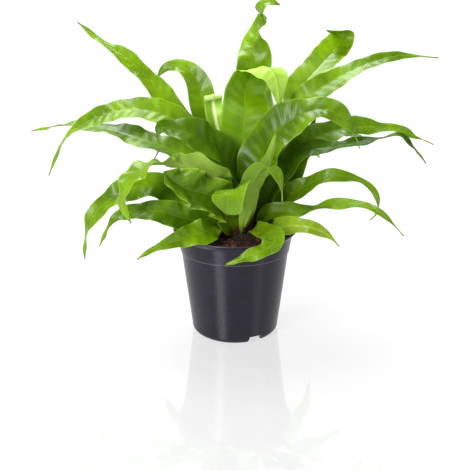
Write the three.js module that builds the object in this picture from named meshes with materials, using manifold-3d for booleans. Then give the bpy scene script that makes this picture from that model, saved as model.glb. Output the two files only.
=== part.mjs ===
// Potted Japanese bird's nest fern: a rosette of waved strap fronds that grow
// from one short crown, standing in the filled nursery pot it was raised in.
// Millimetres, +Z up. The origin is the centre of the pot's underside.
// Plan directions: +X is right, -Y is the side the fern is usually seen from.
import * as THREE from "three";
import { mergeVertices } from "three/addons/utils/BufferGeometryUtils.js";
import Module from "manifold-3d";

const wasm = await Module();
wasm.setup();

// Driving dimensions of the pot
const POT_HEIGHT = 106;
const RIM_RADIUS = 60;
const LIP_HEIGHT = 6;
const LIP_THICKNESS = 1.6;
const RIM_BAND = 1.2;
const RIM_CHAMFER = 0.3;
const COLLAR_RADIUS = 55.8;
const SHOULDER_HEIGHT = 85;
const SHOULDER_RADIUS = 53.4;
const SHOULDER_STEP = 1.0;
const FOOT_RADIUS = 43;
const FOOT_ROUNDING = 6;
const FOOT_STEPS = 3;
const FOOT_RING_INSIDE = 36;
const FLOOR_HEIGHT = 7.5;
const WALL = 1.2;
const CENTRE_PAD_RADIUS = 17;
const DRAFT = 1.6;
const POT_SIDES = 40;

// Drain notches cut through the foot, and drain holes through the raised floor
const NOTCH_COUNT = 2;
const NOTCH_DIRECTION = -62;
const NOTCH_WIDTH = 17;
const NOTCH_HEIGHT = 7;
const NOTCH_START = FOOT_RING_INSIDE - 1;
const NOTCH_END = FOOT_RADIUS + 3;
const HOLE_COUNT = 8;
const HOLE_RADIUS = 3.2;
const HOLE_RING_RADIUS = 27;
const HOLE_SIDES = 10;
const HOLE_LENGTH = 4 * WALL;

// The growing medium and the crown half sunk in it
const FIT_GAP = 0.3;
const SOIL_EDGE_HEIGHT = 99.5;
const SOIL_MOUND = 2.5;
const SOIL_LUMP = 0.9;
const SOIL_SIDES = 36;
const SOIL_BANDS = 5;
const SOIL_SLACK = 0.3;
const SOIL_BRINK = { slack: 0.6, depth: 1 };
const SOIL_TOP_SLACK = 1.4;
const CROWN_CENTRE = [6, 2];
const CROWN_RADIUS = 23;
const CROWN_NECK_RADIUS = 17.5;
const CROWN_WELL_GAP = 0.8;
const CROWN_TOE = { inset: 3.5, height: 4 };
const CROWN_NECK_RISE = 1.6;
const CROWN_TOP = 113;
const CROWN_BOTTOM = 86;
const CROWN_SIDES = 24;
const CROWN_LUMP = 0.5;
const CROWN_LUMP_CLOSENESS = 3;

// The crown's head, from its widest ring up: [share of its radius, depth under its top]
const CROWN_HEAD = [[1, 6.5], [0.9, 3.6], [0.62, 1.2], [0.3, 0.2]];

// Two low uneven swells: turns for each mm along x and y, phases, and the second one's share
const LUMP_LONG = { x: 0.31, y: 0.27, xPhase: 0.9, yPhase: -0.4 };
const LUMP_SLANT = { x: 0.53, y: 0.61, share: 0.6 };

// The rings of stalks round the crown's centre, each as its radius and its height
const STALK_RINGS = {
  outer: [20.2, 104.5],
  middle: [14, 108.6],
  inner: [8, 110.6],
  centre: [0, 111],
};

// The fronds
const BLADE_THICKNESS = 0.7;
const RIB_THICKNESS = 1.5;
const RIB_TAPER = 0.5;
const STALK_THICKNESS = 2.4;
const STALK_EDGE = 0.5;
const STALK_WIDTH = 5;
const STALK_SHARE = 0.16;
const TIP_WIDTH = 1.0;
const STATION_SPACING = 13;
const FEWEST_STATIONS = 8;
const SOCKET_LENGTH = 16;
const SOCKET_FLARE = { width: 3, thickness: 3.6 };
const SOCKET_ROOM = { width: 4 * FIT_GAP, thickness: 3 * FIT_GAP };
const ACROSS = [-1, -0.52, 0, 0.52, 1];

// The margin's waves: they grow up to a share of the length, die away before the tip, reach
// in from the margin by a power, and those of the right margin lag by a turn in radians
const WAVE_GROWN = 0.3;
const WAVE_FADING = 0.08;
const WAVE_REACH = 1.6;
const WAVE_LAG = 2.1;

const POT_COLOUR = 0x35333a;
const SOIL_COLOUR = 0x3a1a18;
const CROWN_COLOUR = 0x2c1c12;
const BLADE_COLOUR = 0x6fa800;

// One row for each frond. stalk is the ring that it grows from and its plan direction there,
// heading the plan direction that it leans out to, and route its midrib from the crown to
// the tip. width is the blade's full width at its widest. shape is how late it swells, its
// widest place as a share of the length, and how bluntly it tapers. roll and fold are
// degrees at even steps from base to tip: roll turns the blade about its midrib, and fold
// lifts both halves into a trough. wave is the height of the margin's waves and waves their
// number.
const FRONDS = [
  {
    name: "frond_left_high",
    stalk: ["middle", 160], heading: 165,
    route: [[-14, 9, 142], [-29, 12, 177], [-51, 16, 209], [-73, 22, 234], [-98, 28, 260],
      [-123, 34, 276], [-148, 40, 295]],
    width: 22, shape: [1.1, 0.55, 1.8], roll: [0, 40, 30], fold: [25, 12, 10],
    wave: 2.5, waves: 5,
  },
  {
    name: "frond_back_left_folded",
    stalk: ["inner", 138], heading: 95,
    route: [[-6, 23, 136], [-20, 39, 178], [-31, 46, 215], [-37, 52, 238], [-50, 56, 252],
      [-66, 58, 253], [-78, 59, 241]],
    width: 29, shape: [1.1, 0.55, 1.8], roll: [0, 0, 0], fold: [25, 15, 10],
    wave: 2.5, waves: 4,
  },
  {
    name: "frond_young_rolled",
    stalk: ["inner", 183], heading: 95,
    route: [[-4, 21, 147], [-13, 23, 182], [-19, 20, 208], [-21, 22, 222], [-21, 17, 230]],
    width: 19, shape: [0.9, 0.7, 14], roll: [0, 0, 0], fold: [15, 35, 25],
    wave: 0.8, waves: 3,
  },
  {
    name: "frond_centre_broad",
    stalk: ["centre", 0], heading: 90,
    route: [[6, 9, 140], [6, 10, 175], [9, 10, 213], [10, 21, 236], [18, 19, 252],
      [27, 8, 257], [36, 0, 251], [41, -5, 221]],
    width: 46, shape: [1, 0.5, 2.5], roll: [0, 0, -10, -50, -80], fold: [20, 15, 10, 5],
    wave: 3, waves: 4,
  },
  {
    name: "frond_young_small",
    stalk: ["inner", 2], heading: 65,
    route: [[11, 13, 145], [21, 20, 187], [27, 29, 222]],
    width: 9, shape: [1.1, 0.6, 2.4], roll: [0, 0, 0], fold: [10, 40, 30],
    wave: 0.8, waves: 3,
  },
  {
    name: "frond_back_tall",
    stalk: ["inner", 92], heading: 85,
    route: [[10, 24, 145], [25, 36, 192], [18, 78, 232], [20, 72, 258], [19, 78, 275],
      [24, 81, 287], [31, 79, 297], [24, 75, 305], [32, 71, 313], [44, 68, 310]],
    width: 36, shape: [1.1, 0.55, 3.2], roll: [0, 0, 0, 0, 10, 70, 20], fold: [25, 20, 15, 10],
    wave: 3.5, waves: 5,
  },
  {
    name: "frond_right_spoon",
    stalk: ["inner", 46], heading: 45,
    route: [[25, 22, 176], [58, 35, 213], [70, 68, 234], [89, 88, 252], [107, 107, 269],
      [113, 112, 281], [93, 92, 285]],
    width: 35, shape: [1, 0.68, 3], roll: [0, -10, -20], fold: [25, 18, 10],
    wave: 1.8, waves: 4,
  },
  {
    name: "frond_right_high",
    stalk: ["middle", 22], heading: 5,
    route: [[27, 2, 162], [49, 16, 202], [70, 8, 231], [93, 13, 245], [117, 15, 257],
      [151, 18, 266], [189, 22, 264]],
    width: 29, shape: [1.3, 0.42, 1.5], roll: [0, -35, -45, -36, -26], fold: [22, 12, 8],
    wave: 1.2, waves: 4,
  },
  {
    name: "frond_right_arching",
    stalk: ["middle", 326], heading: 345,
    route: [[17, -8, 146], [24, -5, 172], [34, -10, 196], [57, -17, 216], [81, -24, 223],
      [102, -30, 210], [111, -33, 190]],
    width: 46, shape: [1.15, 0.36, 1.5], roll: [0, -58, -62, -45, -15], fold: [22, 14, 8],
    wave: 3, waves: 4,
  },
  {
    name: "frond_young_front",
    stalk: ["inner", 286], heading: 295,
    route: [[15, -33, 147], [24, -36, 166], [31, -48, 187], [35, -57, 209]],
    width: 16, shape: [1.4, 0.5, 2], roll: [0, 0, 0], fold: [30, 30, 30],
    wave: 0.8, waves: 3,
  },
  {
    name: "frond_right_short",
    stalk: ["middle", 48], heading: 20,
    route: [[31, 24, 136], [47, 14, 163], [67, 32, 182], [79, 35, 206]],
    width: 23, shape: [0.7, 0.55, 2], roll: [0, -50, -40], fold: [25, 20, 10],
    wave: 1.6, waves: 3,
  },
  {
    name: "frond_right_long",
    stalk: ["outer", 10], heading: 10,
    route: [[50, 7, 146], [63, 5, 182], [95, 15, 197], [131, 20, 200], [163, 25, 194],
      [194, 29, 181]],
    width: 27, shape: [0.5, 0.42, 1.6], roll: [-90, -60, -46, -38, -20], fold: [22, 12, 8],
    wave: 2.4, waves: 5,
  },
  {
    name: "frond_right_long_under",
    stalk: ["middle", 355], heading: 350,
    route: [[35, -10, 147], [66, -4, 180], [101, -12, 188], [132, -17, 196],
      [149, -20, 199], [161, -22, 190], [174, -24, 174]],
    width: 21, shape: [0.45, 0.3, 1.3], roll: [-85, -60, -42, -20, 0], fold: [22, 18, 8],
    wave: 2.2, waves: 5,
  },
  {
    name: "frond_right_low_hooked",
    stalk: ["outer", 350], heading: 345,
    route: [[46, -3, 134], [67, -15, 151], [87, -23, 162], [114, -27, 159],
      [130, -32, 144], [131, -32, 131], [125, -30, 122]],
    width: 21, shape: [0.5, 0.28, 1.1], roll: [-85, -60, -45, -35, -10], fold: [22, 15, 8],
    wave: 1.8, waves: 4,
  },
  {
    name: "frond_right_low_twisted",
    stalk: ["outer", 331], heading: 335,
    route: [[32, -18, 126], [60, -27, 129], [87, -33, 137], [113, -47, 142],
      [133, -56, 134], [149, -63, 118]],
    width: 18, shape: [0.5, 0.28, 1.2], roll: [-75, -60, -8, -35, -40, -20], fold: [22, 15, 8],
    wave: 1.8, waves: 4,
  },
  {
    name: "frond_right_old",
    stalk: ["outer", 312], heading: 330,
    route: [[34, -39, 117], [52, -40, 120], [69, -50, 121], [84, -49, 114], [94, -54, 105]],
    width: 19, shape: [0.7, 0.42, 1.7], roll: [0, -45, -40], fold: [15, 8, 5],
    wave: 1.5, waves: 3,
  },
  {
    name: "frond_front_right_over_rim",
    stalk: ["outer", 293], heading: 310,
    route: [[19, -34, 115], [28, -50, 117], [36, -59, 114], [29, -68, 108], [11, -72, 102],
      [-9, -73, 94]],
    width: 19, shape: [1.2, 0.5, 1.4], roll: [0, -40, -28, 5, 8], fold: [20, 10, 8],
    wave: 2.4, waves: 5,
  },
  {
    name: "frond_front_left_over_rim",
    stalk: ["outer", 229], heading: 220,
    route: [[-18, -25, 114], [-27, -43, 115], [-44, -54, 114], [-59, -66, 112],
      [-74, -74, 108], [-85, -80, 102]],
    width: 26, shape: [1.6, 0.42, 0.85], roll: [0, 35, 45, 20], fold: [15, 8, 8],
    wave: 1.6, waves: 3,
  },
  {
    name: "frond_front_folded",
    stalk: ["outer", 272], heading: 265,
    route: [[7, -40, 123], [10, -43, 140], [5, -55, 152], [0, -64, 161], [-5, -75, 158],
      [-7, -74, 141]],
    width: 37, shape: [4, 0.76, 5], roll: [0, 0, 0], fold: [15, 10, 5],
    wave: 2.2, waves: 3,
  },
  {
    name: "frond_front_underside",
    stalk: ["middle", 292], heading: 290,
    route: [[12, -30, 126], [13, -42, 150], [19, -51, 169], [25, -57, 178], [33, -64, 177],
      [39, -67, 168], [41, -68, 149]],
    width: 25, shape: [2.1, 0.5, 1.3], roll: [0, 0, -10, -30], fold: [20, 15, 8],
    wave: 2, waves: 3,
  },
  {
    name: "frond_left_front_arch",
    stalk: ["middle", 225], heading: 205,
    route: [[-13, -20, 141], [-24, -44, 170], [-54, -35, 175], [-78, -46, 177],
      [-93, -54, 164], [-99, -58, 146], [-92, -58, 128]],
    width: 34, shape: [0.9, 0.4, 2], roll: [0, -65, -34, 15, 40], fold: [22, 12, 8],
    wave: 2.2, waves: 5,
  },
  {
    name: "frond_left_low_long",
    stalk: ["outer", 182], heading: 190,
    route: [[-22, -4, 131], [-59, -4, 141], [-82, -9, 150], [-107, -17, 144],
      [-128, -21, 129], [-141, -23, 103], [-143, -24, 81]],
    width: 28, shape: [0.42, 0.4, 1.8], roll: [80, 60, 48, 35, 15], fold: [22, 12, 8],
    wave: 2.4, waves: 5,
  },
  {
    name: "frond_left_low_short",
    stalk: ["outer", 208], heading: 200,
    route: [[-23, -15, 114], [-46, -25, 122], [-69, -33, 131], [-96, -35, 131],
      [-112, -40, 124], [-124, -45, 102]],
    width: 28, shape: [0.38, 0.3, 1.2], roll: [85, 70, 62, 45, 10], fold: [20, 15, 8],
    wave: 1.8, waves: 4,
  },
  {
    name: "frond_left_ruffled",
    stalk: ["outer", 250], heading: 220,
    route: [[-15, -27, 134], [-27, -44, 151], [-44, -56, 160], [-54, -62, 168],
      [-61, -66, 177]],
    width: 40, shape: [0.5, 0.62, 4], roll: [105, 80, 75, 60], fold: [28, 34, 32],
    wave: 6, waves: 4,
  },
  {
    name: "frond_left_arching",
    stalk: ["middle", 188], heading: 175,
    route: [[-7, -7, 149], [-38, -3, 189], [-58, 2, 210], [-93, 4, 219], [-128, 6, 211],
      [-159, 7, 192], [-179, 8, 155]],
    width: 29, shape: [1, 0.45, 2], roll: [0, 38, 20], fold: [22, 12, 8],
    wave: 1.6, waves: 4,
  },
  {
    name: "frond_left_long",
    stalk: ["outer", 160], heading: 170,
    route: [[-20, 9, 147], [-48, 21, 170], [-87, 22, 186], [-126, 28, 196],
      [-166, 34, 199], [-201, 40, 192]],
    width: 31, shape: [0.7, 0.4, 1.6], roll: [0, 28, 10], fold: [22, 12, 8],
    wave: 2.2, waves: 5,
  },
  {
    name: "frond_left_broad",
    stalk: ["inner", 230], heading: 205,
    route: [[-2, -6, 155], [-13, -12, 180], [-34, -25, 199], [-53, -28, 206],
      [-65, -32, 208], [-69, -34, 201]],
    width: 38, shape: [1.3, 0.5, 3.2], roll: [0, 48, 40], fold: [22, 15, 10],
    wave: 2.5, waves: 4,
  },
  {
    name: "frond_rear_right_low",
    stalk: ["outer", 28], heading: 35,
    route: [[50, 30, 152], [70, 39, 172], [92, 60, 181], [114, 74, 182], [133, 84, 179]],
    width: 26, shape: [0.55, 0.42, 1.7], roll: [0, 10, 10], fold: [22, 12, 8],
    wave: 2.4, waves: 4,
  },
  {
    name: "frond_rear_right",
    stalk: ["outer", 64], heading: 60,
    route: [[43, 62, 128], [43, 81, 165], [68, 105, 185], [75, 116, 190], [81, 132, 176]],
    width: 30, shape: [0.5, 0.42, 1.7], roll: [0, 0, 0], fold: [22, 12, 8],
    wave: 2.4, waves: 4,
  },
  {
    name: "frond_rear_middle",
    stalk: ["outer", 82], heading: 85,
    route: [[9, 40, 137], [23, 82, 168], [25, 100, 188], [26, 124, 185], [26, 142, 163],
      [25, 148, 138]],
    width: 31, shape: [0.5, 0.4, 1.7], roll: [0, 0, 0], fold: [22, 12, 8],
    wave: 2.6, waves: 5,
  },
  {
    name: "frond_rear_left",
    stalk: ["outer", 118], heading: 110,
    route: [[-16, 44, 132], [-16, 65, 164], [-28, 94, 177], [-34, 116, 172],
      [-39, 132, 153]],
    width: 30, shape: [0.5, 0.42, 1.7], roll: [0, 0, 0], fold: [22, 12, 8],
    wave: 2.4, waves: 4,
  },
  {
    name: "frond_rear_left_low",
    stalk: ["outer", 138], heading: 130,
    route: [[-28, 25, 133], [-46, 38, 157], [-60, 78, 167], [-77, 100, 165],
      [-89, 114, 148]],
    width: 28, shape: [0.5, 0.42, 1.7], roll: [0, 0, 0], fold: [22, 12, 8],
    wave: 2.4, waves: 4,
  },
  {
    name: "frond_rear_left_high",
    stalk: ["middle", 133], heading: 145,
    route: [[-18, 44, 149], [-41, 68, 190], [-70, 78, 200], [-98, 92, 204],
      [-125, 102, 196]],
    width: 24, shape: [0.7, 0.42, 1.7], roll: [0, 0, 0], fold: [22, 12, 8],
    wave: 2.4, waves: 4,
  },
  {
    name: "frond_rear_upright",
    stalk: ["middle", 103], heading: 95,
    route: [[2, 46, 151], [8, 69, 188], [0, 98, 206], [-1, 114, 211], [-2, 128, 199]],
    width: 30, shape: [0.75, 0.45, 1.7], roll: [0, 0, 0], fold: [25, 15, 8],
    wave: 2.6, waves: 4,
  },
  {
    name: "frond_rear_right_arching",
    stalk: ["outer", 46], heading: 60,
    route: [[34, 38, 135], [56, 45, 162], [68, 78, 168], [85, 108, 161], [96, 139, 143]],
    width: 26, shape: [0.5, 0.42, 1.6], roll: [0, 0, 0], fold: [22, 12, 8],
    wave: 2.4, waves: 5,
  },
  {
    name: "frond_rear_drooping",
    stalk: ["outer", 100], heading: 100,
    route: [[1, 54, 121], [-5, 77, 157], [-7, 109, 164], [-11, 141, 148], [-16, 160, 116],
      [-20, 166, 88]],
    width: 29, shape: [0.48, 0.4, 1.6], roll: [0, 0, 0], fold: [22, 12, 8],
    wave: 2.6, waves: 5,
  },
  {
    name: "frond_rear_right_upright",
    stalk: ["middle", 74], heading: 65,
    route: [[18, 27, 149], [11, 60, 180], [26, 58, 200], [33, 73, 198], [40, 85, 182]],
    width: 27, shape: [0.75, 0.48, 1.7], roll: [0, 0, 0], fold: [22, 14, 8],
    wave: 2.4, waves: 4,
  },
];

/** A point between even steps of a short list of values, eased with a cosine. */
function between(values, share) {
  const place = Math.min(Math.max(share, 0), 1) * (values.length - 1);
  const step = Math.min(Math.floor(place), values.length - 2);
  const ease = (1 - Math.cos(Math.PI * (place - step))) / 2;
  return values[step] + (values[step + 1] - values[step]) * ease;
}

/** Half the blade's width at a share of the frond's length. */
function halfWidth(spec, share) {
  const [swell, widest, taper] = spec.shape;
  const rise = Math.sin((Math.PI / 2) * Math.min(share / widest, 1));
  const fall = Math.max((share - widest) / (1 - widest), 0);
  const full = STALK_WIDTH + (spec.width - STALK_WIDTH) * Math.pow(rise, swell);
  return Math.max(full * (1 - Math.pow(fall, taper)), TIP_WIDTH) / 2;
}

/** The midrib's curve: from its stalk's foot in the crown, through the row's points. */
function midrib(spec) {
  const [ringName, direction] = spec.stalk;
  const [radius, height] = STALK_RINGS[ringName];
  const turn = THREE.MathUtils.degToRad(direction);
  const x = CROWN_CENTRE[0] + radius * Math.cos(turn);
  const y = CROWN_CENTRE[1] + radius * Math.sin(turn);
  const points = [[x, y, height], ...spec.route];
  return new THREE.CatmullRomCurve3(points.map((p) => new THREE.Vector3(...p)));
}

/** Frames along the midrib that turn as little as they can, then roll as the row says. */
function frames(spec, count) {
  const curve = midrib(spec);
  const heading = THREE.MathUtils.degToRad(spec.heading);
  let side = new THREE.Vector3(Math.sin(heading), -Math.cos(heading), 0);
  const list = [];
  for (let i = 0; i <= count; i += 1) {
    const share = i / count;
    const along = curve.getTangentAt(share).normalize();
    side = side.clone().addScaledVector(along, -side.dot(along)).normalize();
    const roll = THREE.MathUtils.degToRad(between(spec.roll, share));
    const turned = side.clone().applyAxisAngle(along, -roll);
    list.push({
      share,
      point: curve.getPointAt(share),
      side: turned,
      up: turned.clone().cross(along),
    });
  }
  return list;
}

/** A point of the blade's middle surface: across runs from -1 at one margin to 1 at the other. */
function bladePoint(spec, frame, across) {
  const half = halfWidth(spec, frame.share);
  const fold = THREE.MathUtils.degToRad(between(spec.fold, frame.share));
  const reach = Math.abs(across);
  const grown = Math.min(frame.share / WAVE_GROWN, 1);
  const fading = Math.min((1 - frame.share) / WAVE_FADING, 1);
  const turn = 2 * Math.PI * spec.waves * frame.share + (across < 0 ? 0 : WAVE_LAG);
  const lift = spec.wave * grown * fading * Math.pow(reach, WAVE_REACH) * Math.sin(turn);
  return frame.point
    .clone()
    .addScaledVector(frame.side, across * half * Math.cos(fold))
    .addScaledVector(frame.up, reach * half * Math.sin(fold) + lift);
}

/** Half the thickness: the rib stands proud along the middle and thickens into the stalk. */
function halfThickness(frame, across) {
  const stalk = Math.max(1 - frame.share / STALK_SHARE, 0);
  const slim = RIB_THICKNESS * (1 - RIB_TAPER * frame.share);
  const rib = slim + (STALK_THICKNESS - RIB_THICKNESS) * stalk;
  const edge = BLADE_THICKNESS + STALK_EDGE * stalk;
  return (across === 0 ? Math.max(rib, edge) : edge) / 2;
}

/** How many steps a frond takes from its foot to its tip. */
function stationCount(spec) {
  const steps = Math.round(midrib(spec).getLength() / STATION_SPACING);
  return Math.max(FEWEST_STATIONS, steps);
}

/** One closed blade: both faces share their stations and diagonals. */
function frondGeometry(spec) {
  const count = stationCount(spec);
  const rail = frames(spec, count);
  const rows = rail.map((frame) => ACROSS.map((across) => bladePoint(spec, frame, across)));
  const width = ACROSS.length;
  const upper = [];
  const lower = [];
  rows.forEach((row, i) => {
    const before = rows[Math.max(i - 1, 0)];
    const after = rows[Math.min(i + 1, count)];
    row.forEach((point, j) => {
      const along = after[j].clone().sub(before[j]);
      const over = row[Math.min(j + 1, width - 1)].clone().sub(row[Math.max(j - 1, 0)]);
      const normal = over.cross(along).normalize();
      const half = halfThickness(rail[i], ACROSS[j]);
      upper.push(point.clone().addScaledVector(normal, half));
      lower.push(point.clone().addScaledVector(normal, -half));
    });
  });
  const corners = [...upper, ...lower];
  const shift = upper.length;
  const faces = [];
  const at = (i, j) => i * width + j;
  for (let i = 0; i < count; i += 1) {
    for (let j = 0; j < width - 1; j += 1) {
      const [a, b, c, d] = [at(i, j), at(i, j + 1), at(i + 1, j + 1), at(i + 1, j)];
      faces.push([a, b, c], [a, c, d]);
      faces.push([c + shift, b + shift, a + shift], [d + shift, c + shift, a + shift]);
    }
    const right = width - 1;
    const [p, q] = [at(i, 0), at(i + 1, 0)];
    const [r, s] = [at(i, right), at(i + 1, right)];
    faces.push([p, q, q + shift], [p, q + shift, p + shift]);
    faces.push([s, r, r + shift], [s, r + shift, s + shift]);
  }
  for (let j = 0; j < width - 1; j += 1) {
    const [a, b] = [at(0, j), at(0, j + 1)];
    const [c, d] = [at(count, j), at(count, j + 1)];
    faces.push([b, a, a + shift], [b, a + shift, b + shift]);
    faces.push([c, d, d + shift], [c, d + shift, c + shift]);
  }
  return closedGeometry(corners, faces);
}

/** A geometry of shared corners and the triangles between them. */
function closedGeometry(corners, faces) {
  const geometry = new THREE.BufferGeometry();
  const positions = new Float32Array(corners.flatMap((p) => [p.x, p.y, p.z]));
  geometry.setAttribute("position", new THREE.BufferAttribute(positions, 3));
  geometry.setIndex(faces.flat());
  return geometry;
}

/** A solid of rings between two poles; a ring is one corner for each side, in plan order. */
function ringSolid(bottomPole, rings, topPole) {
  const sides = rings[0].length;
  const corners = [bottomPole, ...rings.flat(), topPole];
  const last = corners.length - 1;
  const at = (ring, side) => 1 + ring * sides + (side % sides);
  const faces = [];
  for (let side = 0; side < sides; side += 1) {
    faces.push([0, at(0, side + 1), at(0, side)]);
    for (let ring = 0; ring < rings.length - 1; ring += 1) {
      const [a, b] = [at(ring, side), at(ring, side + 1)];
      const [c, d] = [at(ring + 1, side + 1), at(ring + 1, side)];
      faces.push([a, b, c], [a, c, d]);
    }
    faces.push([last, at(rings.length - 1, side), at(rings.length - 1, side + 1)]);
  }
  return closedGeometry(corners, faces);
}

/** A ring of the given radius and height round a centre. */
function ring(sides, radius, height, centre = [0, 0], lump = () => 0) {
  return Array.from({ length: sides }, (_, side) => {
    const turn = (2 * Math.PI * side) / sides;
    const x = centre[0] + radius * Math.cos(turn);
    const y = centre[1] + radius * Math.sin(turn);
    return new THREE.Vector3(x, y, height + lump(x, y));
  });
}

/** The pot's outline as [radius, height], from the pad's edge outside, over the rim, to the inside. */
function potOutline() {
  const foot = [];
  for (let i = 0; i <= FOOT_STEPS; i += 1) {
    const turn = (Math.PI / 2) * (i / FOOT_STEPS);
    foot.push([
      FOOT_RADIUS - FOOT_ROUNDING * (1 - Math.sin(turn)),
      FOOT_ROUNDING * (1 - Math.cos(turn)),
    ]);
  }
  const bodyTop = SHOULDER_RADIUS - SHOULDER_STEP;
  const lipFoot = POT_HEIGHT - LIP_HEIGHT;
  const outside = [
    [CENTRE_PAD_RADIUS, 0],
    [CENTRE_PAD_RADIUS + DRAFT, FLOOR_HEIGHT],
    [FOOT_RING_INSIDE + DRAFT, FLOOR_HEIGHT],
    [FOOT_RING_INSIDE, 0],
    ...foot,
    [bodyTop, SHOULDER_HEIGHT - SHOULDER_STEP],
    [SHOULDER_RADIUS, SHOULDER_HEIGHT],
    [COLLAR_RADIUS, lipFoot],
    [RIM_RADIUS, POT_HEIGHT - RIM_BAND],
    [RIM_RADIUS - RIM_CHAMFER, POT_HEIGHT],
  ];
  const inside = [
    [RIM_RADIUS - LIP_THICKNESS, POT_HEIGHT],
    [COLLAR_RADIUS - WALL, lipFoot],
    [bodyTop - WALL, SHOULDER_HEIGHT - SHOULDER_STEP],
    [FOOT_RADIUS - WALL, FLOOR_HEIGHT + WALL],
    [CENTRE_PAD_RADIUS + DRAFT - WALL, FLOOR_HEIGHT + WALL],
    [CENTRE_PAD_RADIUS - WALL, WALL],
  ];
  return [...outside, ...inside];
}

/** The pot with its drain notches and floor holes. */
function potGeometry() {
  const rings = potOutline().map(([radius, height]) => ring(POT_SIDES, radius, height));
  const shell = ringSolid(new THREE.Vector3(0, 0, 0), rings, new THREE.Vector3(0, 0, WALL));
  const cuts = [];
  for (let i = 0; i < NOTCH_COUNT; i += 1) {
    const turn = THREE.MathUtils.degToRad(NOTCH_DIRECTION + (360 * i) / NOTCH_COUNT);
    const notch = new THREE.BoxGeometry(NOTCH_END - NOTCH_START, NOTCH_WIDTH, 2 * NOTCH_HEIGHT);
    notch.translate((NOTCH_START + NOTCH_END) / 2, 0, 0).rotateZ(turn);
    cuts.push(solidOf(notch));
  }
  for (let i = 0; i < HOLE_COUNT; i += 1) {
    const turn = (2 * Math.PI * i) / HOLE_COUNT;
    const hole = new THREE.CylinderGeometry(HOLE_RADIUS, HOLE_RADIUS, HOLE_LENGTH, HOLE_SIDES);
    hole.rotateX(Math.PI / 2).translate(HOLE_RING_RADIUS, 0, FLOOR_HEIGHT + WALL / 2).rotateZ(turn);
    cuts.push(solidOf(hole));
  }
  return geometryOf(cuts.reduce((body, cut) => body.subtract(cut), solidOf(shell)));
}

/** Low uneven lumps, worked out from the place in plan. */
function lumps(x, y) {
  const { x: u, y: v, xPhase, yPhase } = LUMP_LONG;
  const long = Math.sin(u * x + xPhase) * Math.cos(v * y + yPhase);
  return long + LUMP_SLANT.share * Math.sin(LUMP_SLANT.x * x - LUMP_SLANT.y * y);
}

/** The medium: it follows the pot's inside, and a plain well in it takes the crown. */
function soilGeometry() {
  const wellRadius = CROWN_NECK_RADIUS + CROWN_WELL_GAP;
  const wall = WALL + FIT_GAP;
  const floor = FLOOR_HEIGHT + WALL + FIT_GAP;
  const bodyTop = SHOULDER_RADIUS - SHOULDER_STEP;
  const edge = COLLAR_RADIUS - wall;
  const rings = [
    ring(SOIL_SIDES, CENTRE_PAD_RADIUS - wall, WALL + FIT_GAP),
    ring(SOIL_SIDES, CENTRE_PAD_RADIUS + DRAFT - wall, floor),
    ring(SOIL_SIDES, FOOT_RADIUS - wall - SOIL_SLACK, floor),
    ring(SOIL_SIDES, bodyTop - wall - SOIL_SLACK, SHOULDER_HEIGHT - 2 * SHOULDER_STEP),
    ring(SOIL_SIDES, edge - SOIL_BRINK.slack, SOIL_EDGE_HEIGHT - SOIL_BRINK.depth),
  ];
  const topRadius = edge - SOIL_TOP_SLACK;
  for (let i = 0; i <= SOIL_BANDS; i += 1) {
    const share = i / SOIL_BANDS;
    const centre = CROWN_CENTRE.map((c) => c * share);
    const radius = topRadius + (wellRadius - topRadius) * share;
    const height = SOIL_EDGE_HEIGHT + SOIL_MOUND * Math.sin((Math.PI / 2) * share);
    rings.push(ring(SOIL_SIDES, radius, height, centre, (x, y) => SOIL_LUMP * lumps(x, y)));
  }
  rings.push(ring(SOIL_SIDES, wellRadius, CROWN_BOTTOM - FIT_GAP, CROWN_CENTRE));
  const wellFloor = new THREE.Vector3(...CROWN_CENTRE, CROWN_BOTTOM - FIT_GAP);
  return ringSolid(new THREE.Vector3(0, 0, WALL + FIT_GAP), rings, wellFloor);
}

/** The crown: a short rough rhizome with a socket for the foot of each frond. */
function crownGeometry() {
  const neck = [
    [CROWN_NECK_RADIUS - CROWN_TOE.inset, CROWN_BOTTOM],
    [CROWN_NECK_RADIUS, CROWN_BOTTOM + CROWN_TOE.height],
    [CROWN_NECK_RADIUS, SOIL_EDGE_HEIGHT + SOIL_MOUND + CROWN_NECK_RISE],
  ].map(([radius, height]) => ring(CROWN_SIDES, radius, height, CROWN_CENTRE));
  const close = CROWN_LUMP_CLOSENESS;
  const rough = (x, y) => CROWN_LUMP * lumps(close * x, close * y);
  const head = CROWN_HEAD.map(([share, depth]) => ring(
    CROWN_SIDES, CROWN_RADIUS * share, CROWN_TOP - depth, CROWN_CENTRE, rough,
  ));
  const bottom = new THREE.Vector3(...CROWN_CENTRE, CROWN_BOTTOM);
  const top = new THREE.Vector3(...CROWN_CENTRE, CROWN_TOP);
  const sockets = FRONDS.map((spec) => solidOf(socketGeometry(spec)));
  const body = solidOf(ringSolid(bottom, [...neck, ...head], top));
  const pieces = sockets.reduce((crown, socket) => crown.subtract(socket), body).decompose();
  pieces.sort((a, b) => b.volume() - a.volume());
  return geometryOf(pieces[0]);
}

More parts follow.
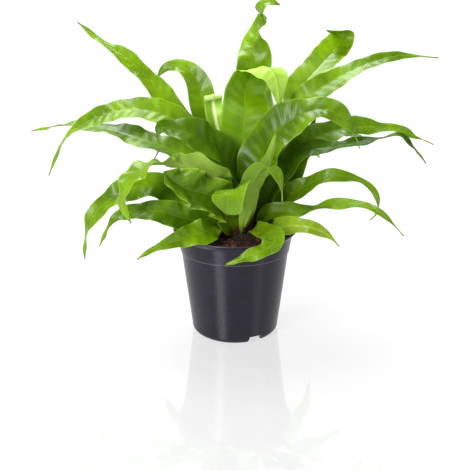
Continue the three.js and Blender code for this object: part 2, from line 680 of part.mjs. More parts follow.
/** The plain hole that a frond's stalk stands in, flared upwards as fast as the blade widens. */
function socketGeometry(spec) {
  const [foot, next] = frames(spec, stationCount(spec));
  const along = next.point.clone().sub(foot.point);
  const growth = (2 * halfWidth(spec, next.share)) / STALK_WIDTH - 1;
  const spread = 1 + (growth * SOCKET_LENGTH) / along.length();
  const flare = Math.max(SOCKET_FLARE.width, spread);
  along.normalize();
  const side = foot.side.clone().addScaledVector(along, -foot.side.dot(along)).normalize();
  const hole = new THREE.BoxGeometry(
    STALK_WIDTH + SOCKET_ROOM.width,
    SOCKET_LENGTH,
    STALK_THICKNESS + SOCKET_ROOM.thickness,
  );
  hole.translate(0, SOCKET_LENGTH / 2 - FIT_GAP, 0);
  const place = hole.attributes.position;
  for (let i = 0; i < place.count; i += 1) {
    if (place.getY(i) > SOCKET_LENGTH / 2) {
      place.setX(i, place.getX(i) * flare);
      place.setZ(i, place.getZ(i) * SOCKET_FLARE.thickness);
    }
  }
  const axes = new THREE.Matrix4().makeBasis(side, along, side.clone().cross(along));
  return hole.applyMatrix4(axes).translate(...foot.point.toArray());
}

/** A closed geometry as a solid for cutting. */
function solidOf(geometry) {
  const bare = geometry.clone();
  bare.deleteAttribute("normal");
  bare.deleteAttribute("uv");
  const merged = mergeVertices(bare, 1e-4);
  return new wasm.Manifold(new wasm.Mesh({
    numProp: 3,
    vertProperties: new Float32Array(merged.attributes.position.array),
    triVerts: new Uint32Array(merged.index.array),
  }));
}

/** A solid back as a geometry. */
function geometryOf(solid) {
  const mesh = solid.getMesh();
  const geometry = new THREE.BufferGeometry();
  geometry.setAttribute("position", new THREE.BufferAttribute(mesh.vertProperties, 3));
  geometry.setIndex(new THREE.BufferAttribute(mesh.triVerts, 1));
  return geometry;
}

/** One named piece of the fern. */
function piece(name, geometry, color, roughness) {
  geometry.computeVertexNormals();
  const mesh = new THREE.Mesh(
    geometry,
    new THREE.MeshStandardMaterial({ color, roughness, metalness: 0, flatShading: true }),
  );
  mesh.name = name;
  return mesh;
}

const fern = new THREE.Group();
fern.add(piece("pot", potGeometry(), POT_COLOUR, 0.45));
fern.add(piece("soil", soilGeometry(), SOIL_COLOUR, 1));
fern.add(piece("crown", crownGeometry(), CROWN_COLOUR, 0.9));
for (const spec of FRONDS) {
  fern.add(piece(spec.name, frondGeometry(spec), BLADE_COLOUR, 0.4));
}

export default fern;
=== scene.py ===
"""Potted Japanese bird's nest fern: the finished look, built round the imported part.

Sizes are millimetres, +Z up, from the centre of the pot's underside. Meshes go into Blender in
metres, in the part's own frame. Each frond repeats the part's own row and rule, on a finer grid.
"""

import logging
import math
from dataclasses import dataclass, field
from enum import Enum

import bpy
import numpy as np
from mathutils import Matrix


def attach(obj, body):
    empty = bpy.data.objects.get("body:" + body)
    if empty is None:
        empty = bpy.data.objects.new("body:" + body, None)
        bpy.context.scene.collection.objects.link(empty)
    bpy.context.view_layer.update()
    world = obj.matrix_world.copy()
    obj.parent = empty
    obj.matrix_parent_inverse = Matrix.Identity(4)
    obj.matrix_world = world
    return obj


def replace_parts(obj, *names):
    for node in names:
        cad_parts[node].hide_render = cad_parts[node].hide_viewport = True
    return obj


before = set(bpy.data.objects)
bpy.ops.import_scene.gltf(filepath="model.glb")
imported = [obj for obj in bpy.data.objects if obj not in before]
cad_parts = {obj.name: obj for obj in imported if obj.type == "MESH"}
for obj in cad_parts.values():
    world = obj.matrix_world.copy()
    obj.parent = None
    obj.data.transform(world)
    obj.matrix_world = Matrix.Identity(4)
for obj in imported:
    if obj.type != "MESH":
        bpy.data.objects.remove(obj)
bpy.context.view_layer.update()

LOG = logging.getLogger("fern")
MM = 0.001
SEED = 4471
BODY = "root"

# The crown's centre in plan and its neck's radius, which the fronds and the medium share
CROWN_CENTRE = np.array([6.0, 2.0])
CROWN_NECK = 17.5

Numbers = np.ndarray
Colour = tuple[float, float, float, float]


def linear(code: str) -> Colour:
    """Turns an sRGB hex colour into linear light.

    Formula: below 0.04045 a channel is divided by 12.92, above it 0.055 is added, the sum is
    divided by 1.055 and raised to 2.4.

    Args:
        code: The colour as #RRGGBB.

    Returns:
        Red, green, blue and alpha.
    """
    parts = [int(code[i:i + 2], 16) / 255 for i in (1, 3, 5)]
    red, green, blue = (c / 12.92 if c <= 0.04045 else ((c + 0.055) / 1.055) ** 2.4 for c in parts)
    return red, green, blue, 1.0


def fill(tree: bpy.types.NodeTree, node: bpy.types.Node, inputs: dict) -> None:
    """Sets or links a node's inputs.

    Args:
        tree: The node tree that it is in.
        node: The node.
        inputs: Socket name or number to a value, or to the output socket that feeds it.
    """
    for key, value in inputs.items():
        if isinstance(value, bpy.types.NodeSocket):
            tree.links.new(value, node.inputs[key])
        else:
            node.inputs[key].default_value = value


def add(tree: bpy.types.NodeTree, kind: str, inputs: dict | None = None,
        **settings) -> bpy.types.Node:
    """Adds one node with its settings, and fills or links its inputs.

    Args:
        tree: The node tree to add to.
        kind: The node's type.
        inputs: Socket name or number to a value, or to the output socket that feeds it.
        **settings: The node's own properties.

    Returns:
        The new node.
    """
    node = tree.nodes.new(kind)
    for key, value in settings.items():
        setattr(node, key, value)
    fill(tree, node, inputs or {})
    return node


def rotations(turns: Numbers) -> Numbers:
    """Rotation matrices from three angles each: about X, then Y, then Z.

    Args:
        turns: Angles in radians, of shape (count, 3).

    Returns:
        Matrices of shape (count, 3, 3).
    """
    (ca, cb, cc), (sa, sb, sc) = np.cos(turns).T, np.sin(turns).T
    rows = [
        [cb * cc, sa * sb * cc - ca * sc, ca * sb * cc + sa * sc],
        [cb * sc, sa * sb * sc + ca * cc, ca * sb * sc - sa * cc],
        [-sb, sa * cb, ca * cb],
    ]
    return np.moveaxis(np.array(rows), 2, 0)


def value_noise(x: Numbers, y: Numbers, pitch: float, seed: int) -> Numbers:
    """Smooth random heights between -1 and 1 over a plane.

    Formula: seeded random values stand on a square lattice of the given pitch, and a place
    between four of them takes their mix, weighted by the eased share 3t^2 - 2t^3 of the way.

    Args:
        x: Places in mm.
        y: Places in mm.
        pitch: The lattice's spacing in mm.
        seed: The random seed.

    Returns:
        The heights, of the same shape as x and y together.
    """
    cells, shift = 64, 999.5
    table = np.random.default_rng(seed).uniform(-1, 1, (cells, cells))
    u, v = np.broadcast_arrays(x / pitch + shift, y / pitch + shift)
    i, j = np.floor(u).astype(int), np.floor(v).astype(int)
    s, t = u - i, v - j
    s, t = s * s * (3 - 2 * s), t * t * (3 - 2 * t)
    i, j, over, up = i % cells, j % cells, (i + 1) % cells, (j + 1) % cells
    low = table[i, j] * (1 - s) + table[over, j] * s
    high = table[i, up] * (1 - s) + table[over, up] * s
    return low * (1 - t) + high * t


@dataclass
class Form:
    """Corners in mm, faces, and what rides on each corner, before they become a mesh."""

    corners: Numbers
    faces: list[Numbers]
    uv: Numbers | None = None
    values: dict[str, Numbers] = field(default_factory=dict)

    def piece(self, name: str, finish: "Finish", sharp: float = 40.0) -> bpy.types.Object:
        """Makes the mesh object at the origin, smooth but for edges sharper than an angle.

        Args:
            name: The piece's name.
            finish: What it is made of.
            sharp: The angle in degrees.

        Returns:
            The object, riding on the part's one body.
        """
        mesh = bpy.data.meshes.new(name)
        faces = [row for block in self.faces for row in block.tolist()]
        mesh.from_pydata((self.corners * MM).tolist(), [], faces)
        for key, value in self.values.items():
            store = mesh.attributes.new(key, "FLOAT", "POINT")
            store.data.foreach_set("value", np.ascontiguousarray(value, np.float32))
        if self.uv is not None:
            order = np.empty(len(mesh.loops), np.int32)
            mesh.loops.foreach_get("vertex_index", order)
            layer = mesh.uv_layers.new(name="surface")
            layer.data.foreach_set("uv", (self.uv * MM)[order].astype(np.float32).ravel())
        mesh.validate()
        mesh.shade_smooth()
        mesh.set_sharp_from_angle(angle=math.radians(sharp))
        mesh.materials.append(finish.material())
        piece = bpy.data.objects.new(name, mesh)
        bpy.context.scene.collection.objects.link(piece)
        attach(piece, BODY)
        LOG.info("%s: %d corners, %d faces", name, len(mesh.vertices), len(mesh.polygons))
        return piece


def round_turns(sides: int) -> Numbers:
    """Even turns round a ring, in radians, the first one not repeated at the end."""
    return np.linspace(0, 2 * np.pi, sides, endpoint=False)


def level_rings(outline: Numbers, sides: int, centre: Numbers = (0.0, 0.0)) -> Numbers:
    """Level rings of corners round an upright axis.

    Formula: a corner is (radius times cosine, radius times sine, height) of its turn, moved by
    the axis' place in plan.

    Args:
        outline: Rows of radius and height.
        sides: How many corners each ring has.
        centre: The axis' place in plan.

    Returns:
        Corners of shape (rows, sides, 3).
    """
    radius, height = np.asarray(outline, float).T[..., None]
    turns = round_turns(sides)
    return np.stack(np.broadcast_arrays(
        centre[0] + radius * np.cos(turns), centre[1] + radius * np.sin(turns), height), axis=2)


def turned(outline: Numbers, sides: int) -> Form:
    """A solid of revolution, whose first and last rows are single corners on the axis.

    Args:
        outline: Rows of radius and height, from the lower pole, outside first, to the upper pole.
        sides: How many corners each ring has.

    Returns:
        The closed solid, with its faces outwards.
    """
    rings = level_rings(outline[1:-1], sides)
    return ring_solid([0, 0, outline[0, 1]], rings, [0, 0, outline[-1, 1]])


def ring_solid(bottom: list[float], rings: Numbers, top: list[float]) -> Form:
    """Joins rings of corners into a closed solid between two poles.

    Args:
        bottom: The lower pole.
        rings: Corners of shape (rings, sides, 3), each ring anticlockwise from above.
        top: The upper pole.

    Returns:
        The closed solid.
    """
    count, sides = rings.shape[:2]
    corners = np.vstack([bottom, rings.reshape(-1, 3), top])
    at = 1 + np.arange(count * sides).reshape(count, sides)
    after = np.roll(at, -1, axis=1)
    walls = np.stack([at[:-1], after[:-1], after[1:], at[1:]], axis=2).reshape(-1, 4)
    first = np.stack([np.zeros(sides, int), after[0], at[0]], axis=1)
    last = np.stack([np.full(sides, len(corners) - 1), at[-1], after[-1]], axis=1)
    return Form(corners, [walls, first, last])


def strands(corners: Numbers) -> Form:
    """Closes rows of rings into strands with flat ends.

    Args:
        corners: Corners of shape (strands, rings, sides, 3), each ring clockwise as seen from
            its strand's far end.

    Returns:
        All the closed strands in one form.
    """
    at = np.arange(corners[..., 0].size).reshape(corners.shape[:3])
    after = np.roll(at, -1, axis=2)
    walls = np.stack([at[:, :-1], at[:, 1:], after[:, 1:], after[:, :-1]], axis=3)
    ends = np.concatenate([at[:, 0], at[:, -1, ::-1]])
    return Form(corners.reshape(-1, 3), [walls.reshape(-1, 4), ends])


class Finish:
    """A surface: what the real one is made of, as one material with its slot in the record."""

    name: str
    slot: str

    def paint(self, tree: bpy.types.NodeTree, skin: bpy.types.Node) -> None:
        """Adds the pattern's nodes and sets the shader's sockets.

        Args:
            tree: The material's node tree.
            skin: Its shader.
        """
        raise NotImplementedError

    def material(self) -> bpy.types.Material:
        """Makes the material once, and gives the same one after that.

        Returns:
            The material.
        """
        made = bpy.data.materials.get(self.name)
        if made is not None:
            return made
        made = bpy.data.materials.new(self.name)
        made.use_nodes = True
        self.paint(made.node_tree, made.node_tree.nodes["Principled BSDF"])
        return made


@dataclass(frozen=True)
class LivingBlade(Finish):
    """Living fern blade: a thin waxy skin over wet green cells, with close side veins.

    The wax gives broad pale highlights, and the wet cells let a warm green through from behind.
    """

    name: str
    upper: str
    deep: str
    light: str
    under: str
    slot: str = "frond"
    vein_spacing: float = 2.2  # real ones are about 1 mm apart, too fine to show
    vein_slope: float = 0.42
    vein_jitter: float = 1.3  # in vein spacings
    vein_depth: float = 0.08
    mottle_size: float = 26.0
    jitter_size: float = 9.0
    cell_size: float = 0.9
    rib_width: float = 0.7
    rib_shine: float = 0.2
    stalk_colour: str = "#3A2A14"
    tip_colour: str = "#5A4522"
    roughness: float = 0.24
    under_roughness: float = 0.46
    index: float = 1.46  # cuticle wax
    shine: float = 0.26
    # how much light wanders in the wet cells, in what colour, and how far
    glow: float = 0.25
    glow_tint: tuple[float, float, float] = (0.5, 1.0, 0.15)
    glow_depth: float = 1.6

    def paint(self, tree: bpy.types.NodeTree, skin: bpy.types.Node) -> None:
        """Veins, mottling, margin, midrib, underside, stalk and tip, from the blade's own UV.

        Args:
            tree: The material's node tree.
            skin: Its shader.
        """
        uv = add(tree, "ShaderNodeUVMap", uv_map="surface")
        place = add(tree, "ShaderNodeSeparateXYZ", {0: uv.outputs[0]})
        off = add(tree, "ShaderNodeMath", {0: place.outputs[0]}, operation="ABSOLUTE").outputs[0]
        margin, face, share, tone = (
            add(tree, "ShaderNodeAttribute", attribute_name=name).outputs["Fac"]
            for name in ("margin", "face", "share", "tone"))
        spot = add(tree, "ShaderNodeTexCoord").outputs["Object"]
        mottle, jitter, cells = (
            add(tree, "ShaderNodeTexNoise", {
                "Vector": spot, "Scale": 1 / (size * MM), "Detail": detail,
            }).outputs["Fac"]
            for size, detail in ((self.mottle_size, 3.0), (self.jitter_size, 1.0),
                                 (self.cell_size, 2.0)))
        # the veins run out at a slope towards the tip, a little unevenly
        lean = add(tree, "ShaderNodeMath", {
            0: off, 1: -self.vein_slope, 2: place.outputs[1],
        }, operation="MULTIPLY_ADD")
        run = add(tree, "ShaderNodeMath", {
            0: jitter, 1: self.vein_jitter * self.vein_spacing * MM, 2: lean.outputs[0],
        }, operation="MULTIPLY_ADD")
        phase = add(tree, "ShaderNodeMath", {
            0: run.outputs[0], 1: 2 * math.pi / (self.vein_spacing * MM),
        }, operation="MULTIPLY")
        vein = add(tree, "ShaderNodeMath", {0: phase.outputs[0]}, operation="SINE").outputs[0]
        body = add(tree, "ShaderNodeMath", {0: mottle, 1: 1.5, 2: tone},
                   operation="MULTIPLY_ADD").outputs[0]
        rib = self.rib_width * MM
        # each row: what is read, from where to where, and what that becomes
        level, stripe, hem, spine, foot, dry, gloss = (
            add(tree, "ShaderNodeMapRange", dict(enumerate(row))).outputs[0] for row in (
                (body, 0.45, 1.05, 0.0, 1.0),  # from the deep green to the upper one
                (vein, -0.2, 1.0, 0.0, 0.1),  # pale side veins
                (margin, 0.9, 0.99, 0.0, 0.35),  # a pale translucent line along both margins
                (off, 0.45 * rib, rib, self.rib_shine, 0.0),  # a paler midrib
                (share, 0.03, 0.12, 0.85, 0.0),  # the stalk browns towards the crown
                (share, 0.972, 0.995, 0.0, 0.9),  # the tip's last millimetres dry out
                (face, 0.0, 1.0, self.under_roughness, self.roughness),
            ))
        # each row mixes two colours, where None is what the rows before it gave
        tint = None
        for amount, low, high in ((level, self.deep, self.upper), (stripe, None, self.light),
                                  (hem, None, self.light), (spine, None, self.light),
                                  (face, self.under, None), (foot, None, self.stalk_colour),
                                  (dry, None, self.tip_colour)):
            tint = add(tree, "ShaderNodeMix", {
                "Factor": amount, 6: linear(low) if low else tint,
                7: linear(high) if high else tint,
            }, data_type="RGBA").outputs[2]
        uneven = add(tree, "ShaderNodeMath", {0: mottle, 1: 0.16, 2: gloss},
                     operation="MULTIPLY_ADD")
        relief = add(tree, "ShaderNodeMath", {0: cells, 1: 0.5, 2: vein},
                     operation="MULTIPLY_ADD")
        bump = add(tree, "ShaderNodeBump", {
            "Strength": 0.22, "Distance": self.vein_depth * MM, "Height": relief.outputs[0],
        })
        fill(tree, skin, {
            "Base Color": tint, "Roughness": uneven.outputs[0], "Normal": bump.outputs[0],
            "IOR": self.index, "Specular IOR Level": self.shine,
            "Subsurface Weight": self.glow, "Subsurface Radius": self.glow_tint,
            "Subsurface Scale": self.glow_depth * MM,
        })


class Age(Enum):
    """The finishes of a blade by age, with a painted-backlight copy and a painted-shade copy."""

    YOUNG = LivingBlade("blade_unrolling", "#A4CA36", "#86B022", "#EEF4C0", "#B4CE70",
                        rib_width=2.6, rib_shine=0.95)
    FRESH = LivingBlade("blade_fresh", "#749806", "#527402", "#A0BE40", "#7E9836")
    # painted light: a paler green, palest underneath, painted as if light shone through the blade
    BACKLIT = LivingBlade("blade_backlit", "#709800", "#4C7400", "#A8C83C", "#98BC44")
    MATURE = LivingBlade("blade_mature", "#6C9000", "#3E5E00", "#94B434", "#74922E")
    # painted shade: a darker green with less shine, for fronds that stand in shade
    PAINTED_SHADE = LivingBlade("blade_shaded", "#426400", "#284200", "#6C8E2C", "#587828", shine=0.14)
    OLD = LivingBlade("blade_yellowing", "#86A412", "#6A860A", "#BCC248", "#94A048",
                      rib_width=1.3, rib_shine=0.3)


@dataclass(frozen=True)
class MouldedPolypropylene(Finish):
    """Dark slate polypropylene, injection moulded: a satin skin with fine turned tool rings.

    The rings draw each highlight into a soft upright band with faint level lines. A pale line
    of painted highlight runs along the collar's edge and the rim, and a dark line of painted
    shade lies in the corner under the collar.
    """

    name: str = "polypropylene_moulded"
    slot: str = "pot_plastic"
    colour: str = "#13111B"
    scuffed: str = "#1A1825"
    # painted highlight: the pale line at the collar's edge and at the rim
    painted_highlight: str = "#6A6874"
    # painted shade: the near-black line in the corner under the collar
    corner: str = "#09080B"
    collar_edge: float = 85.3
    corner_level: float = 83.9
    rim_edge: float = 106.0
    # the share laid on of the painted highlight, then of the painted shade
    highlight_share: float = 0.3
    shade_share: float = 0.8
    line: float = 0.55
    ring_spacing: float = 1.3
    ring_depth: float = 0.03
    cloud_size: float = 22.0
    streaks: tuple[float, float, float] = (14.0, 14.0, 700.0)  # to the metre, round and up
    roughness: float = 0.3
    index: float = 1.49
    shine: float = 0.3

    def paint(self, tree: bpy.types.NodeTree, skin: bpy.types.Node) -> None:
        """Tool rings, uneven scuffs round the wall, and painted highlight and shade lines at three
        levels.

        Args:
            tree: The material's node tree.
            skin: Its shader.
        """
        spot = add(tree, "ShaderNodeTexCoord").outputs["Object"]
        drawn = add(tree, "ShaderNodeMapping", {"Vector": spot, "Scale": self.streaks})
        streak = add(tree, "ShaderNodeTexNoise", {
            "Vector": drawn.outputs[0], "Scale": 1.0, "Detail": 4.0, "Roughness": 0.6,
        }).outputs["Fac"]
        cloud = add(tree, "ShaderNodeTexNoise", {
            "Vector": spot, "Scale": 1 / (self.cloud_size * MM), "Detail": 3.0,
        })
        worn = add(tree, "ShaderNodeMath", {0: streak, 1: cloud.outputs["Fac"]},
                   operation="MULTIPLY")
        amount = add(tree, "ShaderNodeMapRange", {
            "Value": worn.outputs[0], "From Min": 0.16, "From Max": 0.42,
        })
        tint = add(tree, "ShaderNodeMix", {
            "Factor": amount.outputs[0], 6: linear(self.colour), 7: linear(self.scuffed),
        }, data_type="RGBA").outputs[2]
        rough = add(tree, "ShaderNodeMapRange", {
            "Value": streak, "From Min": 0.3, "From Max": 0.7,
            "To Min": self.roughness - 0.02, "To Max": self.roughness + 0.05,
        })
        height = add(tree, "ShaderNodeSeparateXYZ", {0: spot}).outputs[2]
        # painted highlight lines at the collar's edge and the rim, and a painted shade line in the
        # corner under the collar
        for level, shade, share in ((self.collar_edge, self.painted_highlight, self.highlight_share),
                                    (self.rim_edge, self.painted_highlight, self.highlight_share),
                                    (self.corner_level, self.corner, self.shade_share)):
            near = add(tree, "ShaderNodeMath", {0: height, 1: level * MM, 2: self.line * MM},
                       operation="COMPARE")
            part = add(tree, "ShaderNodeMath", {0: near.outputs[0], 1: share},
                       operation="MULTIPLY")
            tint = add(tree, "ShaderNodeMix", {
                "Factor": part.outputs[0], 6: tint, 7: linear(shade),
            }, data_type="RGBA").outputs[2]
        phase = add(tree, "ShaderNodeMath", {
            0: height, 1: 2 * math.pi / (self.ring_spacing * MM),
        }, operation="MULTIPLY")
        rings = add(tree, "ShaderNodeMath", {0: phase.outputs[0]}, operation="SINE")
        relief = add(tree, "ShaderNodeMath", {0: streak, 1: 0.8, 2: rings.outputs[0]},
                     operation="MULTIPLY_ADD")
        bump = add(tree, "ShaderNodeBump", {
            "Strength": 0.08, "Distance": self.ring_depth * MM, "Height": relief.outputs[0],
        })
        fill(tree, skin, {
            "Base Color": tint, "Roughness": rough.outputs[0], "Normal": bump.outputs[0],
            "IOR": self.index, "Specular IOR Level": self.shine,
        })


@dataclass(frozen=True)
class Crumb(Finish):
    """Dry fibrous matter: coir, peat, bark or rhizome scales, dull, with a mixed warm brown."""

    name: str
    slot: str
    dark: str
    mid: str
    bright: str
    grain: float
    clod: float = 5.0  # in grains
    depth: float = 0.4
    roughness: float = 0.93

    def paint(self, tree: bpy.types.NodeTree, skin: bpy.types.Node) -> None:
        """Two sizes of crumb mix three browns, and roughen the surface.

        Args:
            tree: The material's node tree.
            skin: Its shader.
        """
        spot = add(tree, "ShaderNodeTexCoord").outputs["Object"]
        fine, coarse = (
            add(tree, "ShaderNodeTexNoise", {
                "Vector": spot, "Scale": 1 / (size * MM), "Detail": detail, "Roughness": rough,
            }).outputs["Fac"]
            for size, detail, rough in ((self.grain, 5.0, 0.65),
                                        (self.clod * self.grain, 2.0, 0.5)))
        tint = linear(self.dark)
        for crumb, low, high, shade in ((fine, 0.35, 0.62, self.mid),
                                        (coarse, 0.56, 0.68, self.bright)):
            amount = add(tree, "ShaderNodeMapRange", {
                "Value": crumb, "From Min": low, "From Max": high,
            })
            tint = add(tree, "ShaderNodeMix", {
                "Factor": amount.outputs[0], 6: tint, 7: linear(shade),
            }, data_type="RGBA").outputs[2]
        bump = add(tree, "ShaderNodeBump", {
            "Strength": 0.8, "Distance": self.depth * MM, "Height": fine,
        })
        fill(tree, skin, {
            "Base Color": tint, "Roughness": self.roughness, "Normal": bump.outputs[0],
        })


PEAT = Crumb("peat_and_coir", "medium", "#120806", "#2A120E", "#4A2214", 1.6)
BARK = Crumb("bark_chips", "medium", "#220F0A", "#4A2012", "#86441E", 2.4)
FIBRE = Crumb("coir_fibre", "medium", "#2E1A0E", "#5C3A20", "#8A6238", 1.2)
RHIZOME = Crumb("rhizome_bark", "crown", "#17100A", "#32200F", "#4A3418", 1.5)
SCALE = Crumb("rhizome_scales", "crown", "#2A170B", "#553018", "#7A4E26", 1.0)


class Ring(Enum):
    """A ring of stalks round the crown's centre, as its radius and its height."""

    OUTER = (20.2, 104.5)
    MIDDLE = (14.0, 108.6)
    INNER = (8.0, 110.6)
    CENTRE = (0.0, 111.0)


def between(values: tuple[float, ...], share: Numbers) -> Numbers:
    """Values at even steps, eased from one to the next with half a cosine.

    Args:
        values: What holds at each even step from 0 to 1.
        share: Where to read them.

    Returns:
        The eased values.
    """
    steps = np.asarray(values, float)
    place = np.clip(share, 0, 1) * (len(steps) - 1)
    low = np.minimum(np.floor(place).astype(int), len(steps) - 2)
    ease = (1 - np.cos(np.pi * (place - low))) / 2
    return steps[low] + (steps[low + 1] - steps[low]) * ease


@dataclass(frozen=True)
class Frond:
    """One strap frond: its row of sizes, and the rule that makes its blade."""

    name: str
    ring: Ring
    direction: float
    heading: float
    route: tuple[tuple[float, float, float], ...]
    width: float
    shape: tuple[float, float, float]
    roll: tuple[float, ...]
    fold: tuple[float, ...]
    wave: float
    waves: float
    age: Age = Age.MATURE
    scroll: float = 0.0
    pleat: float = 0.3
    ripple: float = 0.6
    curve_steps: int = 800
    step: float = 2.0
    least_steps: int = 40
    columns: int = 25
    stalk_width: float = 5.0
    tip_width: float = 0.9
    stalk_share: float = 0.16
    stalk_thickness: float = 2.2
    blade_thickness: float = 0.5
    hem_thickness: float = 0.25
    keel: float = 0.8
    ridge: float = 0.3
    rib_spread: float = 0.95
    rib_fade: float = 0.6
    middle_spacing: float = 0.15  # the first columns' share of an even spacing
    grown_from: float = 0.3  # waves have their whole height from here
    fading_end: float = 0.08  # and die away in this last share of the length
    wave_power: float = 1.6
    ripple_power: float = 3
    ripple_spacing: float = 17.0
    pleat_spacing: float = 9.5
    # each drift's amount in radians and its length
    ripple_drift: tuple[float, float] = (1.1, 23.0)
    pleat_drift: tuple[float, float] = (1.4, 31.0)
    vein_slope: float = 0.42
    full_half_width: float = 12.0  # where ripples and pleats have their whole height
    # how far the right margin's wave runs ahead of the left one's, in radians, and how many
    # times as far its ripple does
    hand: float = 2.1
    ripple_hand: float = 2.3
    tone_spread: float = 0.18
    scroll_turns: float = 1.75
    scroll_shrink: float = 0.6
    scroll_narrowing: float = 0.3
    scroll_steps: float = 34.0  # to each mm of its first radius
    fresh_share: float = 0.94  # a scroll's tip has not dried

    def midrib(self) -> tuple[Numbers, Numbers]:
        """The midrib's points and directions at equal steps of its length.

        Formula: a centripetal Catmull-Rom curve through the stalk's foot and the route, whose
        spans are weighted by the square root of their chords, and whose ends are led on by
        twice the end point less its neighbour.

        Returns:
            Points and unit directions.
        """
        radius, height = self.ring.value
        turn = math.radians(self.direction)
        foot = [*(CROWN_CENTRE + radius * np.array([math.cos(turn), math.sin(turn)])), height]
        knots = np.array([foot, *self.route], float)
        knots = np.vstack([2 * knots[0] - knots[1], knots, 2 * knots[-1] - knots[-2]])
        spans = len(knots) - 3
        place = np.linspace(0, 1, self.curve_steps + 1) * spans
        span = np.minimum(place.astype(int), spans - 1)
        t = (place - span)[:, None]
        p0, p1, p2, p3 = (knots[span + k] for k in range(4))
        d0, d1, d2 = (np.linalg.norm(b - a, axis=1)[:, None] ** 0.5
                      for a, b in ((p0, p1), (p1, p2), (p2, p3)))
        m1 = ((p1 - p0) / d0 - (p2 - p0) / (d0 + d1) + (p2 - p1) / d1) * d1
        m2 = ((p2 - p1) / d1 - (p3 - p1) / (d1 + d2) + (p3 - p2) / d2) * d1
        line = p1 + m1 * t + (3 * (p2 - p1) - 2 * m1 - m2) * t**2 + (2 * (p1 - p2) + m1 + m2) * t**3
        run = np.concatenate([[0], np.cumsum(np.linalg.norm(np.diff(line, axis=0), axis=1))])
        count = max(self.least_steps, round(run[-1] / self.step))
        even = np.linspace(0, run[-1], count + 1)
        points = np.stack([np.interp(even, run, line[:, k]) for k in range(3)], axis=1)
        along = np.gradient(points, axis=0)
        return points, along / np.linalg.norm(along, axis=1)[:, None]

    def sides(self, along: Numbers, share: Numbers) -> Numbers:
        """Which way the blade's right half points at each station.

        Formula: the first lies level, square to the heading, each next one is the last less its
        part along the midrib, and then all are turned about the midrib by the row's roll.

        Args:
            along: The midrib's unit directions.
            share: Each station's share of the length.

        Returns:
            Unit vectors.
        """
        turn = math.radians(self.heading)
        side = np.array([math.sin(turn), -math.cos(turn), 0.0])
        carried = np.empty_like(along)
        for station, way in enumerate(along):
            side = side - side @ way * way
            side = side / np.linalg.norm(side)
            carried[station] = side
        roll = np.radians(between(self.roll, share))[:, None]
        return carried * np.cos(roll) - np.cross(along, carried) * np.sin(roll)

    def rolled_up(self, points: Numbers, along: Numbers, side: Numbers) -> tuple[Numbers, ...]:
        """Leads the midrib on into the scroll that a young frond's tip still is.

        Formula: the way ahead turns steadily towards the upper face, by a turn and three
        quarters in all, on a radius that shrinks evenly to two fifths, and each step goes on
        from the last by the radius times the angle.

        Args:
            points: The midrib's points.
            along: Their unit directions.
            side: Which way the right half points at each.

        Returns:
            The same three, with the scroll's stations after them, and each station's way
            through the scroll, from 0 to 1.
        """
        count = round(self.scroll * self.scroll_steps)
        angle = np.linspace(0, 2 * np.pi * self.scroll_turns, count + 1)[1:]
        done = angle / angle[-1]
        radius = self.scroll * (1 - self.scroll_shrink * done)
        ahead, up = along[-1], np.cross(side[-1], along[-1])
        way = ahead * np.cos(angle)[:, None] + up * np.sin(angle)[:, None]
        steps = way * (radius * angle[0])[:, None]
        return (
            np.vstack([points, points[-1] + np.cumsum(steps, axis=0)]),
            np.vstack([along, way]),
            np.vstack([side, np.repeat(side[-1:], len(angle), axis=0)]),
            np.concatenate([np.zeros(len(points)), done]),
        )

    def half_width(self, share: Numbers) -> Numbers:
        """Half the blade's width.

        Formula: a quarter sine raised to the swell brings it from the stalk's width to its
        widest, and one less a power of the rest of the way brings it down to the tip.

        Args:
            share: Shares of the length.

        Returns:
            Half widths in mm.
        """
        swell, widest, taper = self.shape
        rise = np.sin(np.pi / 2 * np.minimum(share / widest, 1)) ** swell
        fall = np.maximum((share - widest) / (1 - widest), 0) ** taper
        full = (self.stalk_width + (self.width - self.stalk_width) * rise) * (1 - fall)
        return np.maximum(full, self.tip_width) / 2

    def blade(self) -> Form:
        """The closed blade: an upper and a lower skin joined along the margins and ends.

        Formula: from the midrib a point lies across times the half width out to the side, folded
        up by the trough's angle, and lifted by the margin's wave, its finer ripple and the
        pleats between the side veins. Both skins stand half the thickness off it.

        Returns:
            The blade with its UV in mm (off the midrib, along it) and its values.
        """
        rng = np.random.default_rng([SEED, sum(map(ord, self.name))])
        points, along = self.midrib()
        share = np.linspace(0, 1, len(points))
        side = self.sides(along, share)
        done = np.zeros(len(points))
        if self.scroll:
            points, along, side, done = self.rolled_up(points, along, side)
            rest = np.ones(len(points) - len(share))
            share = np.minimum(np.concatenate([share, rest]), self.fresh_share)
        up = np.cross(side, along)
